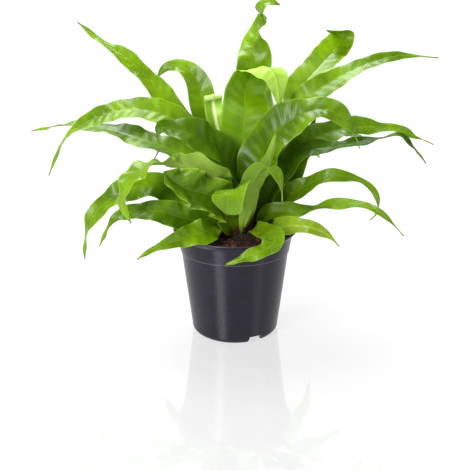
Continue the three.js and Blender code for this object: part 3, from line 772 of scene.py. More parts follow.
        # the columns stand closer together at the midrib, where the section bends most
        even = np.linspace(-1, 1, self.columns)
        across = np.sign(even)[None, :] * (
            self.middle_spacing * np.abs(even) + (1 - self.middle_spacing) * np.abs(even) ** 1.5)
        reach = np.abs(across)
        half = (self.half_width(share) * (1 - self.scroll_narrowing * done))[:, None]
        fold = (np.radians(between(self.fold, share)) * np.maximum(1 - 6 * done, 0))[:, None]
        chords = np.linalg.norm(np.diff(points, axis=0), axis=1)
        run = np.concatenate([[0], np.cumsum(chords)])[:, None]
        grown = np.minimum(share / self.grown_from, 1)
        grown = (grown * np.minimum((1 - share) / self.fading_end, 1))[:, None]
        hand = np.where(across < 0, 0, self.hand)
        wave = self.wave * np.sin(2 * np.pi * self.waves * share[:, None] + hand)
        first, second, third = rng.uniform(0, 2 * np.pi, 3)
        size = np.minimum(half / self.full_half_width, 1)
        drift = self.ripple_drift[0] * np.sin(run / self.ripple_drift[1] + second)
        ripple = self.ripple * size * np.sin(
            2 * np.pi * run / self.ripple_spacing + hand * self.ripple_hand + first + drift)
        lean = run - self.vein_slope * reach * half
        drift = self.pleat_drift[0] * np.sin(run / self.pleat_drift[1] + third)
        pleat = self.pleat * size * np.sin(
            2 * np.pi * lean / self.pleat_spacing + hand + drift)
        belly = np.sin(np.pi * np.clip(reach, 0, 1) ** 0.8)
        lift = grown * (
            wave * reach**self.wave_power + ripple * reach**self.ripple_power + pleat * belly)
        skin = (points[:, None, :]
                + side[:, None, :] * (across * half * np.cos(fold))[..., None]
                + up[:, None, :] * (reach * half * np.sin(fold) + lift)[..., None])
        down = np.gradient(skin, axis=0)
        over = np.gradient(skin, axis=1)
        normal = np.cross(over, down)
        normal /= np.linalg.norm(normal, axis=2)[..., None]
        off = reach * half
        stalk = np.maximum(1 - share / self.stalk_share, 0)[:, None]
        body = self.blade_thickness + (self.stalk_thickness - self.blade_thickness) * stalk
        thick = self.hem_thickness + (body - self.hem_thickness) * np.sqrt(1 - reach**4)
        rib = np.exp(-((off / self.rib_spread) ** 2)) * (1 - stalk)
        rib *= 1 - self.rib_fade * share[:, None]
        above = skin + normal * (thick / 2 + self.ridge * rib)[..., None]
        below = skin - normal * (thick / 2 + self.keel * rib)[..., None]
        rows, columns = off.shape
        at = np.arange(rows * columns).reshape(rows, columns)
        a, b, c, d = at[:-1, :-1], at[:-1, 1:], at[1:, 1:], at[1:, :-1]
        shift = rows * columns
        top = np.stack([a, b, c, d], axis=2).reshape(-1, 4)
        rim = np.concatenate([at[0], at[1:, -1], at[-1, -2::-1], at[-2:0:-1, 0]])
        ahead = np.roll(rim, -1)
        wall = np.stack([ahead, rim, rim + shift, ahead + shift], axis=1)
        flat = np.stack(np.broadcast_arrays(across * half, run), axis=2).reshape(-1, 2)
        values = {
            "share": np.tile(np.repeat(share, columns), 2),
            "margin": np.tile(reach.ravel(), 2 * rows),
            "face": np.repeat([1.0, 0.0], shift),
            "tone": np.full(2 * shift, rng.uniform(-self.tone_spread, self.tone_spread)),
        }
        return Form(
            np.vstack([above.reshape(-1, 3), below.reshape(-1, 3)]),
            [top, top[:, ::-1] + shift, wall],
            np.vstack([flat, flat]),
            values,
        )

    def build(self) -> bpy.types.Object:
        """Makes the frond's piece, which stands for its node."""
        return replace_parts(self.blade().piece(self.name, self.age.value, 70), self.name)


FRONDS = (
    Frond("frond_left_high", Ring.MIDDLE, 160, 165, (
        (-14, 9, 142), (-29, 12, 177), (-51, 16, 209), (-73, 22, 234), (-98, 28, 260),
        (-123, 34, 276), (-148, 40, 295),
    ), 22, (1.1, 0.55, 1.8), (0, 40, 30), (25, 12, 10), 2.5, 5),
    Frond("frond_back_left_folded", Ring.INNER, 138, 95, (
        (-6, 23, 136), (-20, 39, 178), (-31, 46, 215), (-37, 52, 238), (-50, 56, 252),
        (-66, 58, 253), (-78, 59, 241),
    ), 29, (1.1, 0.55, 1.8), (0, 0, 0), (25, 15, 10), 2.5, 4),
    Frond("frond_young_rolled", Ring.INNER, 183, 95, (
        (-4, 21, 147), (-13, 23, 182), (-19, 20, 208), (-21, 22, 222), (-21, 17, 230),
    ), 19, (0.9, 0.7, 14), (0, 0, 0), (15, 35, 25), 0.8, 3, Age.YOUNG, scroll=3.0),
    Frond("frond_centre_broad", Ring.CENTRE, 0, 90, (
        (6, 9, 140), (6, 10, 175), (9, 10, 213), (10, 21, 236), (18, 19, 252), (27, 8, 257),
        (36, 0, 251), (41, -5, 221),
    ), 46, (1, 0.5, 2.5), (0, 0, -10, -50, -80), (20, 15, 10, 5), 3, 4, Age.BACKLIT, pleat=0.45),
    Frond("frond_young_small", Ring.INNER, 2, 65, (
        (11, 13, 145), (21, 20, 187), (27, 29, 222),
    ), 9, (1.1, 0.6, 2.4), (0, 0, 0), (10, 40, 30), 0.8, 3, Age.YOUNG),
    Frond("frond_back_tall", Ring.INNER, 92, 85, (
        (10, 24, 145), (25, 36, 192), (18, 78, 232), (20, 72, 258), (19, 78, 275), (24, 81, 287),
        (31, 79, 297), (24, 75, 305), (32, 71, 313), (44, 68, 310),
    ), 36, (1.1, 0.55, 3.2), (0, 0, 0, 0, 10, 70, 20), (25, 20, 15, 10), 3.5, 5, pleat=0.6),
    Frond("frond_right_spoon", Ring.INNER, 46, 45, (
        (25, 22, 176), (58, 35, 213), (70, 68, 234), (89, 88, 252), (107, 107, 269),
        (113, 112, 281), (93, 92, 285),
    ), 35, (1, 0.68, 3), (0, -10, -20), (25, 18, 10), 1.8, 4),
    Frond("frond_right_high", Ring.MIDDLE, 22, 5, (
        (27, 2, 162), (49, 16, 202), (70, 8, 231), (93, 13, 245), (117, 15, 257), (151, 18, 266),
        (189, 22, 264),
    ), 29, (1.3, 0.42, 1.5), (0, -35, -45, -36, -26), (22, 12, 8), 1.2, 4),
    Frond("frond_right_arching", Ring.MIDDLE, 326, 345, (
        (17, -8, 146), (24, -5, 172), (34, -10, 196), (57, -17, 216), (81, -24, 223),
        (102, -30, 210), (111, -33, 190),
    ), 46, (1.15, 0.36, 1.5), (0, -58, -62, -45, -15), (22, 14, 8), 3, 4, pleat=0.4),
    Frond("frond_young_front", Ring.INNER, 286, 295, (
        (15, -33, 147), (24, -36, 166), (31, -48, 187), (35, -57, 209),
    ), 16, (1.4, 0.5, 2), (0, 0, 0), (30, 30, 30), 0.8, 3, Age.FRESH),
    Frond("frond_right_short", Ring.MIDDLE, 48, 20, (
        (31, 24, 136), (47, 14, 163), (67, 32, 182), (79, 35, 206),
    ), 23, (0.7, 0.55, 2), (0, -50, -40), (25, 20, 10), 1.6, 3),
    Frond("frond_right_long", Ring.OUTER, 10, 10, (
        (50, 7, 146), (63, 5, 182), (95, 15, 197), (131, 20, 200), (163, 25, 194), (194, 29, 181),
    ), 27, (0.5, 0.42, 1.6), (-90, -60, -46, -38, -20), (22, 12, 8), 2.4, 5),
    Frond("frond_right_long_under", Ring.MIDDLE, 355, 350, (
        (35, -10, 147), (66, -4, 180), (101, -12, 188), (132, -17, 196), (149, -20, 199),
        (161, -22, 190), (174, -24, 174),
    ), 21, (0.45, 0.3, 1.3), (-85, -60, -42, -20, 0), (22, 18, 8), 2.2, 5, Age.PAINTED_SHADE),
    Frond("frond_right_low_hooked", Ring.OUTER, 350, 345, (
        (46, -3, 134), (67, -15, 151), (87, -23, 162), (114, -27, 159), (130, -32, 144),
        (131, -32, 131), (125, -30, 122),
    ), 21, (0.5, 0.28, 1.1), (-85, -60, -45, -35, -10), (22, 15, 8), 1.8, 4),
    Frond("frond_right_low_twisted", Ring.OUTER, 331, 335, (
        (32, -18, 126), (60, -27, 129), (87, -33, 137), (113, -47, 142), (133, -56, 134),
        (149, -63, 118),
    ), 18, (0.5, 0.28, 1.2), (-75, -60, -8, -35, -40, -20), (22, 15, 8), 1.8, 4),
    Frond("frond_right_old", Ring.OUTER, 312, 330, (
        (34, -39, 117), (52, -40, 120), (69, -50, 121), (84, -49, 114), (94, -54, 105),
    ), 19, (0.7, 0.42, 1.7), (0, -45, -40), (15, 8, 5), 1.5, 3, Age.OLD),
    Frond("frond_front_right_over_rim", Ring.OUTER, 293, 310, (
        (19, -34, 115), (28, -50, 117), (36, -59, 114), (29, -68, 108), (11, -72, 102),
        (-9, -73, 94),
    ), 19, (1.2, 0.5, 1.4), (0, -40, -28, 5, 8), (20, 10, 8), 2.4, 5, Age.FRESH, ripple=1.8),
    Frond("frond_front_left_over_rim", Ring.OUTER, 229, 220, (
        (-18, -25, 114), (-27, -43, 115), (-44, -54, 114), (-59, -66, 112), (-74, -74, 108),
        (-85, -80, 102),
    ), 26, (1.6, 0.42, 0.85), (0, 35, 45, 20), (15, 8, 8), 1.6, 3, ripple=1.8),
    Frond("frond_front_folded", Ring.OUTER, 272, 265, (
        (7, -40, 123), (10, -43, 140), (5, -55, 152), (0, -64, 161), (-5, -75, 158),
        (-7, -74, 141),
    ), 37, (4, 0.76, 5), (0, 0, 0), (15, 10, 5), 2.2, 3),
    Frond("frond_front_underside", Ring.MIDDLE, 292, 290, (
        (12, -30, 126), (13, -42, 150), (19, -51, 169), (25, -57, 178), (33, -64, 177),
        (39, -67, 168), (41, -68, 149),
    ), 25, (2.1, 0.5, 1.3), (0, 0, -10, -30), (20, 15, 8), 2, 3),
    Frond("frond_left_front_arch", Ring.MIDDLE, 225, 205, (
        (-13, -20, 141), (-24, -44, 170), (-54, -35, 175), (-78, -46, 177), (-93, -54, 164),
        (-99, -58, 146), (-92, -58, 128),
    ), 34, (0.9, 0.4, 2), (0, -65, -34, 15, 40), (22, 12, 8), 2.2, 5, Age.FRESH, ripple=2.2),
    Frond("frond_left_low_long", Ring.OUTER, 182, 190, (
        (-22, -4, 131), (-59, -4, 141), (-82, -9, 150), (-107, -17, 144), (-128, -21, 129),
        (-141, -23, 103), (-143, -24, 81),
    ), 28, (0.42, 0.4, 1.8), (80, 60, 48, 35, 15), (22, 12, 8), 2.4, 5),
    Frond("frond_left_low_short", Ring.OUTER, 208, 200, (
        (-23, -15, 114), (-46, -25, 122), (-69, -33, 131), (-96, -35, 131), (-112, -40, 124),
        (-124, -45, 102),
    ), 28, (0.38, 0.3, 1.2), (85, 70, 62, 45, 10), (20, 15, 8), 1.8, 4, ripple=1.8),
    Frond("frond_left_ruffled", Ring.OUTER, 250, 220, (
        (-15, -27, 134), (-27, -44, 151), (-44, -56, 160), (-54, -62, 168), (-61, -66, 177),
    ), 40, (0.5, 0.62, 4), (105, 80, 75, 60), (28, 34, 32), 6, 4, ripple=4.0),
    Frond("frond_left_arching", Ring.MIDDLE, 188, 175, (
        (-7, -7, 149), (-38, -3, 189), (-58, 2, 210), (-93, 4, 219), (-128, 6, 211),
        (-159, 7, 192), (-179, 8, 155),
    ), 29, (1, 0.45, 2), (0, 38, 20), (22, 12, 8), 1.6, 4, pleat=0.5),
    Frond("frond_left_long", Ring.OUTER, 160, 170, (
        (-20, 9, 147), (-48, 21, 170), (-87, 22, 186), (-126, 28, 196), (-166, 34, 199),
        (-201, 40, 192),
    ), 31, (0.7, 0.4, 1.6), (0, 28, 10), (22, 12, 8), 2.2, 5),
    Frond("frond_left_broad", Ring.INNER, 230, 205, (
        (-2, -6, 155), (-13, -12, 180), (-34, -25, 199), (-53, -28, 206), (-65, -32, 208),
        (-69, -34, 201),
    ), 38, (1.3, 0.5, 3.2), (0, 48, 40), (22, 15, 10), 2.5, 4, Age.PAINTED_SHADE),
    Frond("frond_rear_right_low", Ring.OUTER, 28, 35, (
        (50, 30, 152), (70, 39, 172), (92, 60, 181), (114, 74, 182), (133, 84, 179),
    ), 26, (0.55, 0.42, 1.7), (0, 10, 10), (22, 12, 8), 2.4, 4),
    Frond("frond_rear_right", Ring.OUTER, 64, 60, (
        (43, 62, 128), (43, 81, 165), (68, 105, 185), (75, 116, 190), (81, 132, 176),
    ), 30, (0.5, 0.42, 1.7), (0, 0, 0), (22, 12, 8), 2.4, 4, Age.PAINTED_SHADE),
    Frond("frond_rear_middle", Ring.OUTER, 82, 85, (
        (9, 40, 137), (23, 82, 168), (25, 100, 188), (26, 124, 185), (26, 142, 163),
        (25, 148, 138),
    ), 31, (0.5, 0.4, 1.7), (0, 0, 0), (22, 12, 8), 2.6, 5),
    Frond("frond_rear_left", Ring.OUTER, 118, 110, (
        (-16, 44, 132), (-16, 65, 164), (-28, 94, 177), (-34, 116, 172), (-39, 132, 153),
    ), 30, (0.5, 0.42, 1.7), (0, 0, 0), (22, 12, 8), 2.4, 4),
    Frond("frond_rear_left_low", Ring.OUTER, 138, 130, (
        (-28, 25, 133), (-46, 38, 157), (-60, 78, 167), (-77, 100, 165), (-89, 114, 148),
    ), 28, (0.5, 0.42, 1.7), (0, 0, 0), (22, 12, 8), 2.4, 4, Age.PAINTED_SHADE),
    Frond("frond_rear_left_high", Ring.MIDDLE, 133, 145, (
        (-18, 44, 149), (-41, 68, 190), (-70, 78, 200), (-98, 92, 204), (-125, 102, 196),
    ), 24, (0.7, 0.42, 1.7), (0, 0, 0), (22, 12, 8), 2.4, 4),
    Frond("frond_rear_upright", Ring.MIDDLE, 103, 95, (
        (2, 46, 151), (8, 69, 188), (0, 98, 206), (-1, 114, 211), (-2, 128, 199),
    ), 30, (0.75, 0.45, 1.7), (0, 0, 0), (25, 15, 8), 2.6, 4),
    Frond("frond_rear_right_arching", Ring.OUTER, 46, 60, (
        (34, 38, 135), (56, 45, 162), (68, 78, 168), (85, 108, 161), (96, 139, 143),
    ), 26, (0.5, 0.42, 1.6), (0, 0, 0), (22, 12, 8), 2.4, 5),
    Frond("frond_rear_drooping", Ring.OUTER, 100, 100, (
        (1, 54, 121), (-5, 77, 157), (-7, 109, 164), (-11, 141, 148), (-16, 160, 116),
        (-20, 166, 88),
    ), 29, (0.48, 0.4, 1.6), (0, 0, 0), (22, 12, 8), 2.6, 5, Age.FRESH),
    Frond("frond_rear_right_upright", Ring.MIDDLE, 74, 65, (
        (18, 27, 149), (11, 60, 180), (26, 58, 200), (33, 73, 198), (40, 85, 182),
    ), 27, (0.75, 0.48, 1.7), (0, 0, 0), (22, 14, 8), 2.4, 4, Age.PAINTED_SHADE),
)


@dataclass
class Rosette:
    """The fronds, which grow from the crown in rings of stalks."""

    fronds: tuple[Frond, ...] = FRONDS

    def build(self) -> None:
        """Makes each frond's piece."""
        for frond in self.fronds:
            frond.build()


def joined(forms: list[Form]) -> Form:
    """Puts the corners and faces of several forms into one.

    Args:
        forms: The forms.

    Returns:
        All of them as one.
    """
    starts = np.cumsum([0, *(len(form.corners) for form in forms)])
    faces = [block + start for form, start in zip(forms, starts) for block in form.faces]
    return Form(np.vstack([form.corners for form in forms]), faces)


@dataclass
class NurseryPot:
    """The pot: one moulded piece with a collar above a shoulder, a rounded foot and notches."""

    height: float = 106.0
    rim_radius: float = 60.0
    lip_height: float = 6.0
    collar_radius: float = 55.8
    shoulder_height: float = 85.0
    shoulder_radius: float = 53.4
    shoulder_step: float = 1.0
    foot_radius: float = 43.0
    foot_rounding: float = 6.0
    foot_inside: float = 36.0
    floor_height: float = 7.5
    pad_radius: float = 17.0
    draft: float = 1.6
    wall: float = 1.2
    lip_thickness: float = 1.6
    lip_flat: float = 1.2
    # small roundings, each as how far in and how far up or down
    pad_edge: tuple[float, float] = (0.5, 0.4)
    foot_edge: tuple[float, float] = (0.4, 0.4)
    shoulder_edge: tuple[float, float] = (0.35, 0.75)
    rim_edge: tuple[float, float] = (0.35, 0.5)
    lip_edge: tuple[float, float] = (0.3, 0.4)
    sides: int = 180
    sharp: float = 28.0
    ring_spacing: float = 2.6
    ring_depth: float = 0.03
    ring_rows: int = 6
    notch_count: int = 2
    notch_direction: float = -62.0
    notch_width: float = 17.0
    notch_height: float = 7.0
    notch_slope: float = 2.2
    notch_start: float = -8.0
    notch_reach: float = 4.0
    hole_count: int = 8
    hole_radius: float = 3.2
    hole_ring: float = 27.0
    hole_sides: int = 24

    def wall_rings(self, low: Numbers, high: Numbers) -> Numbers:
        """Fine level tool rings between two places of the outline.

        Formula: the radius runs straight from one end to the other, plus the ring's depth times
        the sine of the height over the rings' spacing.

        Args:
            low: Radius and height of the lower end.
            high: Radius and height of the upper end.

        Returns:
            Rows of radius and height.
        """
        count = max(2, round((high[1] - low[1]) / self.ring_spacing * self.ring_rows))
        part = np.linspace(0, 1, count + 1)[:, None]
        line = low * (1 - part) + high * part
        swell = self.ring_depth * np.sin(2 * np.pi * line[:, 1] / self.ring_spacing)
        line[:, 0] += swell * np.sin(np.pi * part[:, 0]) ** 0.3
        return line

    def outline(self) -> Numbers:
        """The section as radius and height, from the pad outside, over the rim, to the inside.

        Returns:
            Rows of radius and height, with both poles.
        """
        turn = np.linspace(0, np.pi / 2, 9)
        foot = np.stack([
            self.foot_radius - self.foot_rounding * (1 - np.sin(turn)),
            self.foot_rounding * (1 - np.cos(turn)),
        ], axis=1)
        shoulder = np.array([self.shoulder_radius, self.shoulder_height])
        body = shoulder - self.shoulder_step
        lip = np.array([self.collar_radius, self.height - self.lip_height])
        flare = np.linspace(0, 1, 7)[1:, None]
        rim = np.array([self.rim_radius, self.height - self.lip_flat])
        inner_lip = self.rim_radius - self.lip_thickness
        inner_floor = self.floor_height + self.wall
        outside = [
            [[0, 0], [self.pad_radius - self.pad_edge[0], 0], [self.pad_radius, self.pad_edge[1]]],
            [[self.pad_radius + self.draft, self.floor_height]],
            [[self.foot_inside + self.draft, self.floor_height]],
            [[self.foot_inside, self.foot_edge[1]], [self.foot_inside + self.foot_edge[0], 0]],
            foot,
            self.wall_rings(foot[-1] + [0.05, 1.5], body),
            [shoulder - self.shoulder_edge],
            [shoulder],
            self.wall_rings(shoulder + [0.05, 1], lip),
            lip + (rim - lip) * flare ** [1.4, 1.0],
            [[self.rim_radius, self.height - self.rim_edge[1]]],
            [[self.rim_radius - self.rim_edge[0], self.height]],
        ]
        inside = [
            [[inner_lip + self.lip_edge[0], self.height]],
            [[inner_lip, self.height - self.lip_edge[1]]],
            [[lip[0] - self.wall, lip[1]]],
            [[body[0] - self.wall, body[1]]],
            [[self.foot_radius - self.wall, inner_floor]],
            [[self.pad_radius + self.draft - self.wall, inner_floor]],
            [[self.pad_radius - self.wall, self.wall], [0, self.wall]],
        ]
        return np.vstack(outside + inside)

    def notch(self, turn: float) -> Form:
        """A notch's cutter: a prism across the foot ring, narrower at its top.

        Args:
            turn: Its direction in radians.

        Returns:
            The closed prism.
        """
        half, slope = self.notch_width / 2, self.notch_slope
        section = [[-half - slope, self.notch_start], [half + slope, self.notch_start],
                   [half - slope, self.notch_height], [-half + slope, self.notch_height]]
        near = self.foot_inside - 1
        far = near + (self.foot_radius - self.foot_inside + self.notch_reach)
        block = np.vstack([np.column_stack([np.full(4, out), section]) for out in (near, far)])
        spin = [[math.cos(turn), math.sin(turn), 0], [-math.sin(turn), math.cos(turn), 0],
                [0, 0, 1]]
        return Form(block @ np.array(spin), [np.array([
            [3, 2, 1, 0], [4, 5, 6, 7], [0, 1, 5, 4], [1, 2, 6, 5], [2, 3, 7, 6], [3, 0, 4, 7],
        ])])

    def hole(self, turn: float) -> Form:
        """A drain hole's cutter: an upright drum through the raised floor.

        Args:
            turn: Its direction in radians.

        Returns:
            The closed drum.
        """
        low, high = self.floor_height - self.wall, self.floor_height + 3 * self.wall
        drum = turned(np.array([[0, low], [self.hole_radius, low], [self.hole_radius, high],
                                [0, high]]), self.hole_sides)
        drum.corners += self.hole_ring * np.array([math.cos(turn), math.sin(turn), 0])
        return drum

    def cutters(self) -> Form:
        """The cutters of all notches and drain holes, in one form."""
        first = math.radians(self.notch_direction)
        return joined([*(self.notch(first + turn) for turn in round_turns(self.notch_count)),
                       *(self.hole(turn) for turn in round_turns(self.hole_count))])

    def build(self) -> None:
        """Makes the pot, cuts its notches and holes, and puts it in the node's place."""
        finish = MouldedPolypropylene()
        pot = turned(self.outline(), self.sides).piece("nursery_pot", finish, self.sharp)
        cutter = self.cutters().piece("pot_cutter", finish)
        cut = pot.modifiers.new("notches_and_holes", "BOOLEAN")
        cut.operation = "DIFFERENCE"
        cut.solver = "EXACT"
        cut.object = cutter
        whole = bpy.data.meshes.new_from_object(
            pot.evaluated_get(bpy.context.evaluated_depsgraph_get()))
        pot.modifiers.clear()
        pot.data = whole
        whole.set_sharp_from_angle(angle=math.radians(self.sharp))
        bpy.data.objects.remove(cutter)
        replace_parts(pot, "pot")


@dataclass
class GrowingMedium:
    """Coir and peat, level a few millimetres under the rim, with bark chips and loose fibres."""

    bottom: float = 2.0
    wall: tuple[tuple[float, float], ...] = (
        (15.0, 2.0), (16.6, 9.4), (41.2, 9.4), (50.6, 83.0), (53.4, 97.5),
    )
    edge_radius: float = 54.1
    edge_height: float = 99.5
    mound: float = 2.5
    well_depth: float = 4.0
    sides: int = 220
    bands: int = 60
    lump: float = 0.9
    # clods and crumbs, each as its height, its pitch and its seed
    clods: tuple[tuple[float, float, int], ...] = ((1.1, 7.0, 3), (0.75, 2.9, 4), (0.35, 1.3, 5))
    chips: int = 320
    chip_size: tuple[float, float] = (0.9, 3.1)
    chip_flat: tuple[float, float, float] = (1.0, 0.75, 0.42)
    chip_rough: tuple[float, float] = (0.72, 1.2)
    chip_tilt: tuple[float, float, float] = (0.35, 0.35, 9.0)
    chip_rows: int = 4
    chip_columns: int = 6
    chip_rise: float = 0.35
    fibres: int = 170
    fibre_length: tuple[float, float] = (7.0, 19.0)
    fibre_bow: float = 0.16
    fibre_radius: float = 0.22
    fibre_knots: int = 9
    fibre_sides: int = 3
    fibre_rise: float = 0.5
    wall_gap: float = 1.5

    def height(self, x: Numbers, y: Numbers) -> Numbers:
        """The surface's height over a place.

        Formula: a low mound rises to the crown as a quarter sine; on it lie long lumps, a
        product and a sum of sines, and three sizes of value noise for clods and crumbs.

        Args:
            x: Places in mm.
            y: Places in mm.

        Returns:
            Heights in mm.
        """
        far = np.hypot(x - CROWN_CENTRE[0] * 0.5, y - CROWN_CENTRE[1] * 0.5)
        share = np.clip((self.edge_radius - far) / (self.edge_radius - CROWN_NECK), 0, 1)
        mound = self.mound * np.sin(np.pi / 2 * share)
        lumps = self.lump * (np.sin(0.31 * x + 0.9) * np.cos(0.27 * y - 0.4)
                             + 0.6 * np.sin(0.53 * x - 0.61 * y))
        clods = sum(size * value_noise(x, y, pitch, seed) for size, pitch, seed in self.clods)
        return self.edge_height + mound + lumps + clods * np.minimum(1, 0.4 + 3 * share)

    def body(self) -> Form:
        """The filled body: plain against the pot, crumbled on top, round the crown's neck.

        Returns:
            The closed solid.
        """
        turns = round_turns(self.sides)
        share = np.linspace(0, 1, self.bands)[:, None]
        radius = self.edge_radius + (CROWN_NECK - 1.0 - self.edge_radius) * share
        x = radius * np.cos(turns) + CROWN_CENTRE[0] * share
        y = radius * np.sin(turns) + CROWN_CENTRE[1] * share
        top = np.stack([x, y, self.height(x, y)], axis=2)
        rings = np.concatenate([level_rings(self.wall, self.sides), top])
        middle = [*CROWN_CENTRE, self.edge_height - self.well_depth]
        return ring_solid([0, 0, self.bottom], rings, middle)

    def places(self, rng: np.random.Generator, count: int, inner: float, outer: float) -> Numbers:
        """Random places in the ring of open medium round the crown, even by area.

        Args:
            rng: The random generator.
            count: How many.
            inner: The least distance from the crown's centre.
            outer: The greatest distance from the pot's axis.

        Returns:
            Places of shape (count, 2).
        """
        turn = rng.uniform(0, 2 * np.pi, count)
        radius = np.sqrt(rng.uniform(inner**2, outer**2, count))
        shift = CROWN_CENTRE * ((outer - radius) / (outer - inner))[:, None]
        return np.stack([radius * np.cos(turn), radius * np.sin(turn)], axis=1) + shift

    def chip_form(self) -> Form:
        """Bark chips half sunk in the surface.

        Formula: each is a ball of a few faces, drawn out to a random length, width and height,
        with each corner pushed in or out, and turned at random.

        Returns:
            All the chips in one form.
        """
        rng = np.random.default_rng(SEED + 1)
        rise = np.linspace(-np.pi / 2, np.pi / 2, self.chip_rows + 2)
        unit = turned(np.stack([np.cos(rise), np.sin(rise)], axis=1), self.chip_columns)
        size = len(unit.corners)
        rough = rng.uniform(*self.chip_rough, (self.chips, size, 1))
        scale = rng.uniform(*self.chip_size, (self.chips, 1, 3)) * self.chip_flat
        spin = rotations(rng.normal(0, 1, (self.chips, 3)) * self.chip_tilt)
        spots = self.places(rng, self.chips, CROWN_NECK + 1, self.edge_radius - 3)
        heights = self.height(spots[:, 0], spots[:, 1]) + self.chip_rise
        middle = np.column_stack([spots, heights])[:, None, :]
        corners = (unit.corners * rough * scale) @ spin + middle
        shift = (np.arange(self.chips) * size)[:, None, None]
        faces = [(block[None] + shift).reshape(-1, block.shape[1]) for block in unit.faces]
        return Form(corners.reshape(-1, 3), faces)

    def fibre_form(self) -> Form:
        """Loose coir fibres lying on the surface.

        Formula: each runs along an arc in plan, bowed by a random amount, rises in the middle by
        a quarter of its bow over the surface, and carries a three-cornered section that thins
        towards its ends.

        Returns:
            All the fibres in one form.
        """
        rng = np.random.default_rng(SEED + 2)
        part = np.linspace(-1, 1, self.fibre_knots)[None, :]
        spots = self.places(rng, self.fibres, CROWN_NECK + 6, self.edge_radius - 9)
        turn = rng.uniform(0, 2 * np.pi, (self.fibres, 1))
        length = rng.uniform(*self.fibre_length, (self.fibres, 1))
        bow = rng.normal(0, self.fibre_bow, (self.fibres, 1)) * length
        out, off = part * length / 2, bow * (1 - part**2)
        x = spots[:, :1] + out * np.cos(turn) - off * np.sin(turn)
        y = spots[:, 1:] + out * np.sin(turn) + off * np.cos(turn)
        far = np.hypot(x, y) / (self.edge_radius - self.wall_gap)
        x, y = x / np.maximum(far, 1), y / np.maximum(far, 1)
        z = self.height(x, y) + self.fibre_rise + np.abs(bow) * 0.25 * (1 - part**2)
        line = np.stack([x, y, z], axis=2)
        along = np.gradient(line, axis=1)
        along /= np.linalg.norm(along, axis=2)[..., None]
        side = np.cross(along, [0, 0, 1.0])
        side /= np.linalg.norm(side, axis=2)[..., None]
        up = np.cross(side, along)
        angle = round_turns(self.fibre_sides)[:, None]
        thin = self.fibre_radius * np.sqrt(1.05 - part**2)[..., None, None]
        return strands(line[:, :, None] + thin * (
            side[:, :, None] * np.cos(angle) + up[:, :, None] * np.sin(angle)))

    def build(self) -> None:
        """Makes the medium's body, its chips and its fibres."""
        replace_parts(self.body().piece("peat_bed", PEAT, 60), "soil")
        self.chip_form().piece("bark_chips", BARK, 30)
        self.fibre_form().piece("coir_fibres", FIBRE, 80)


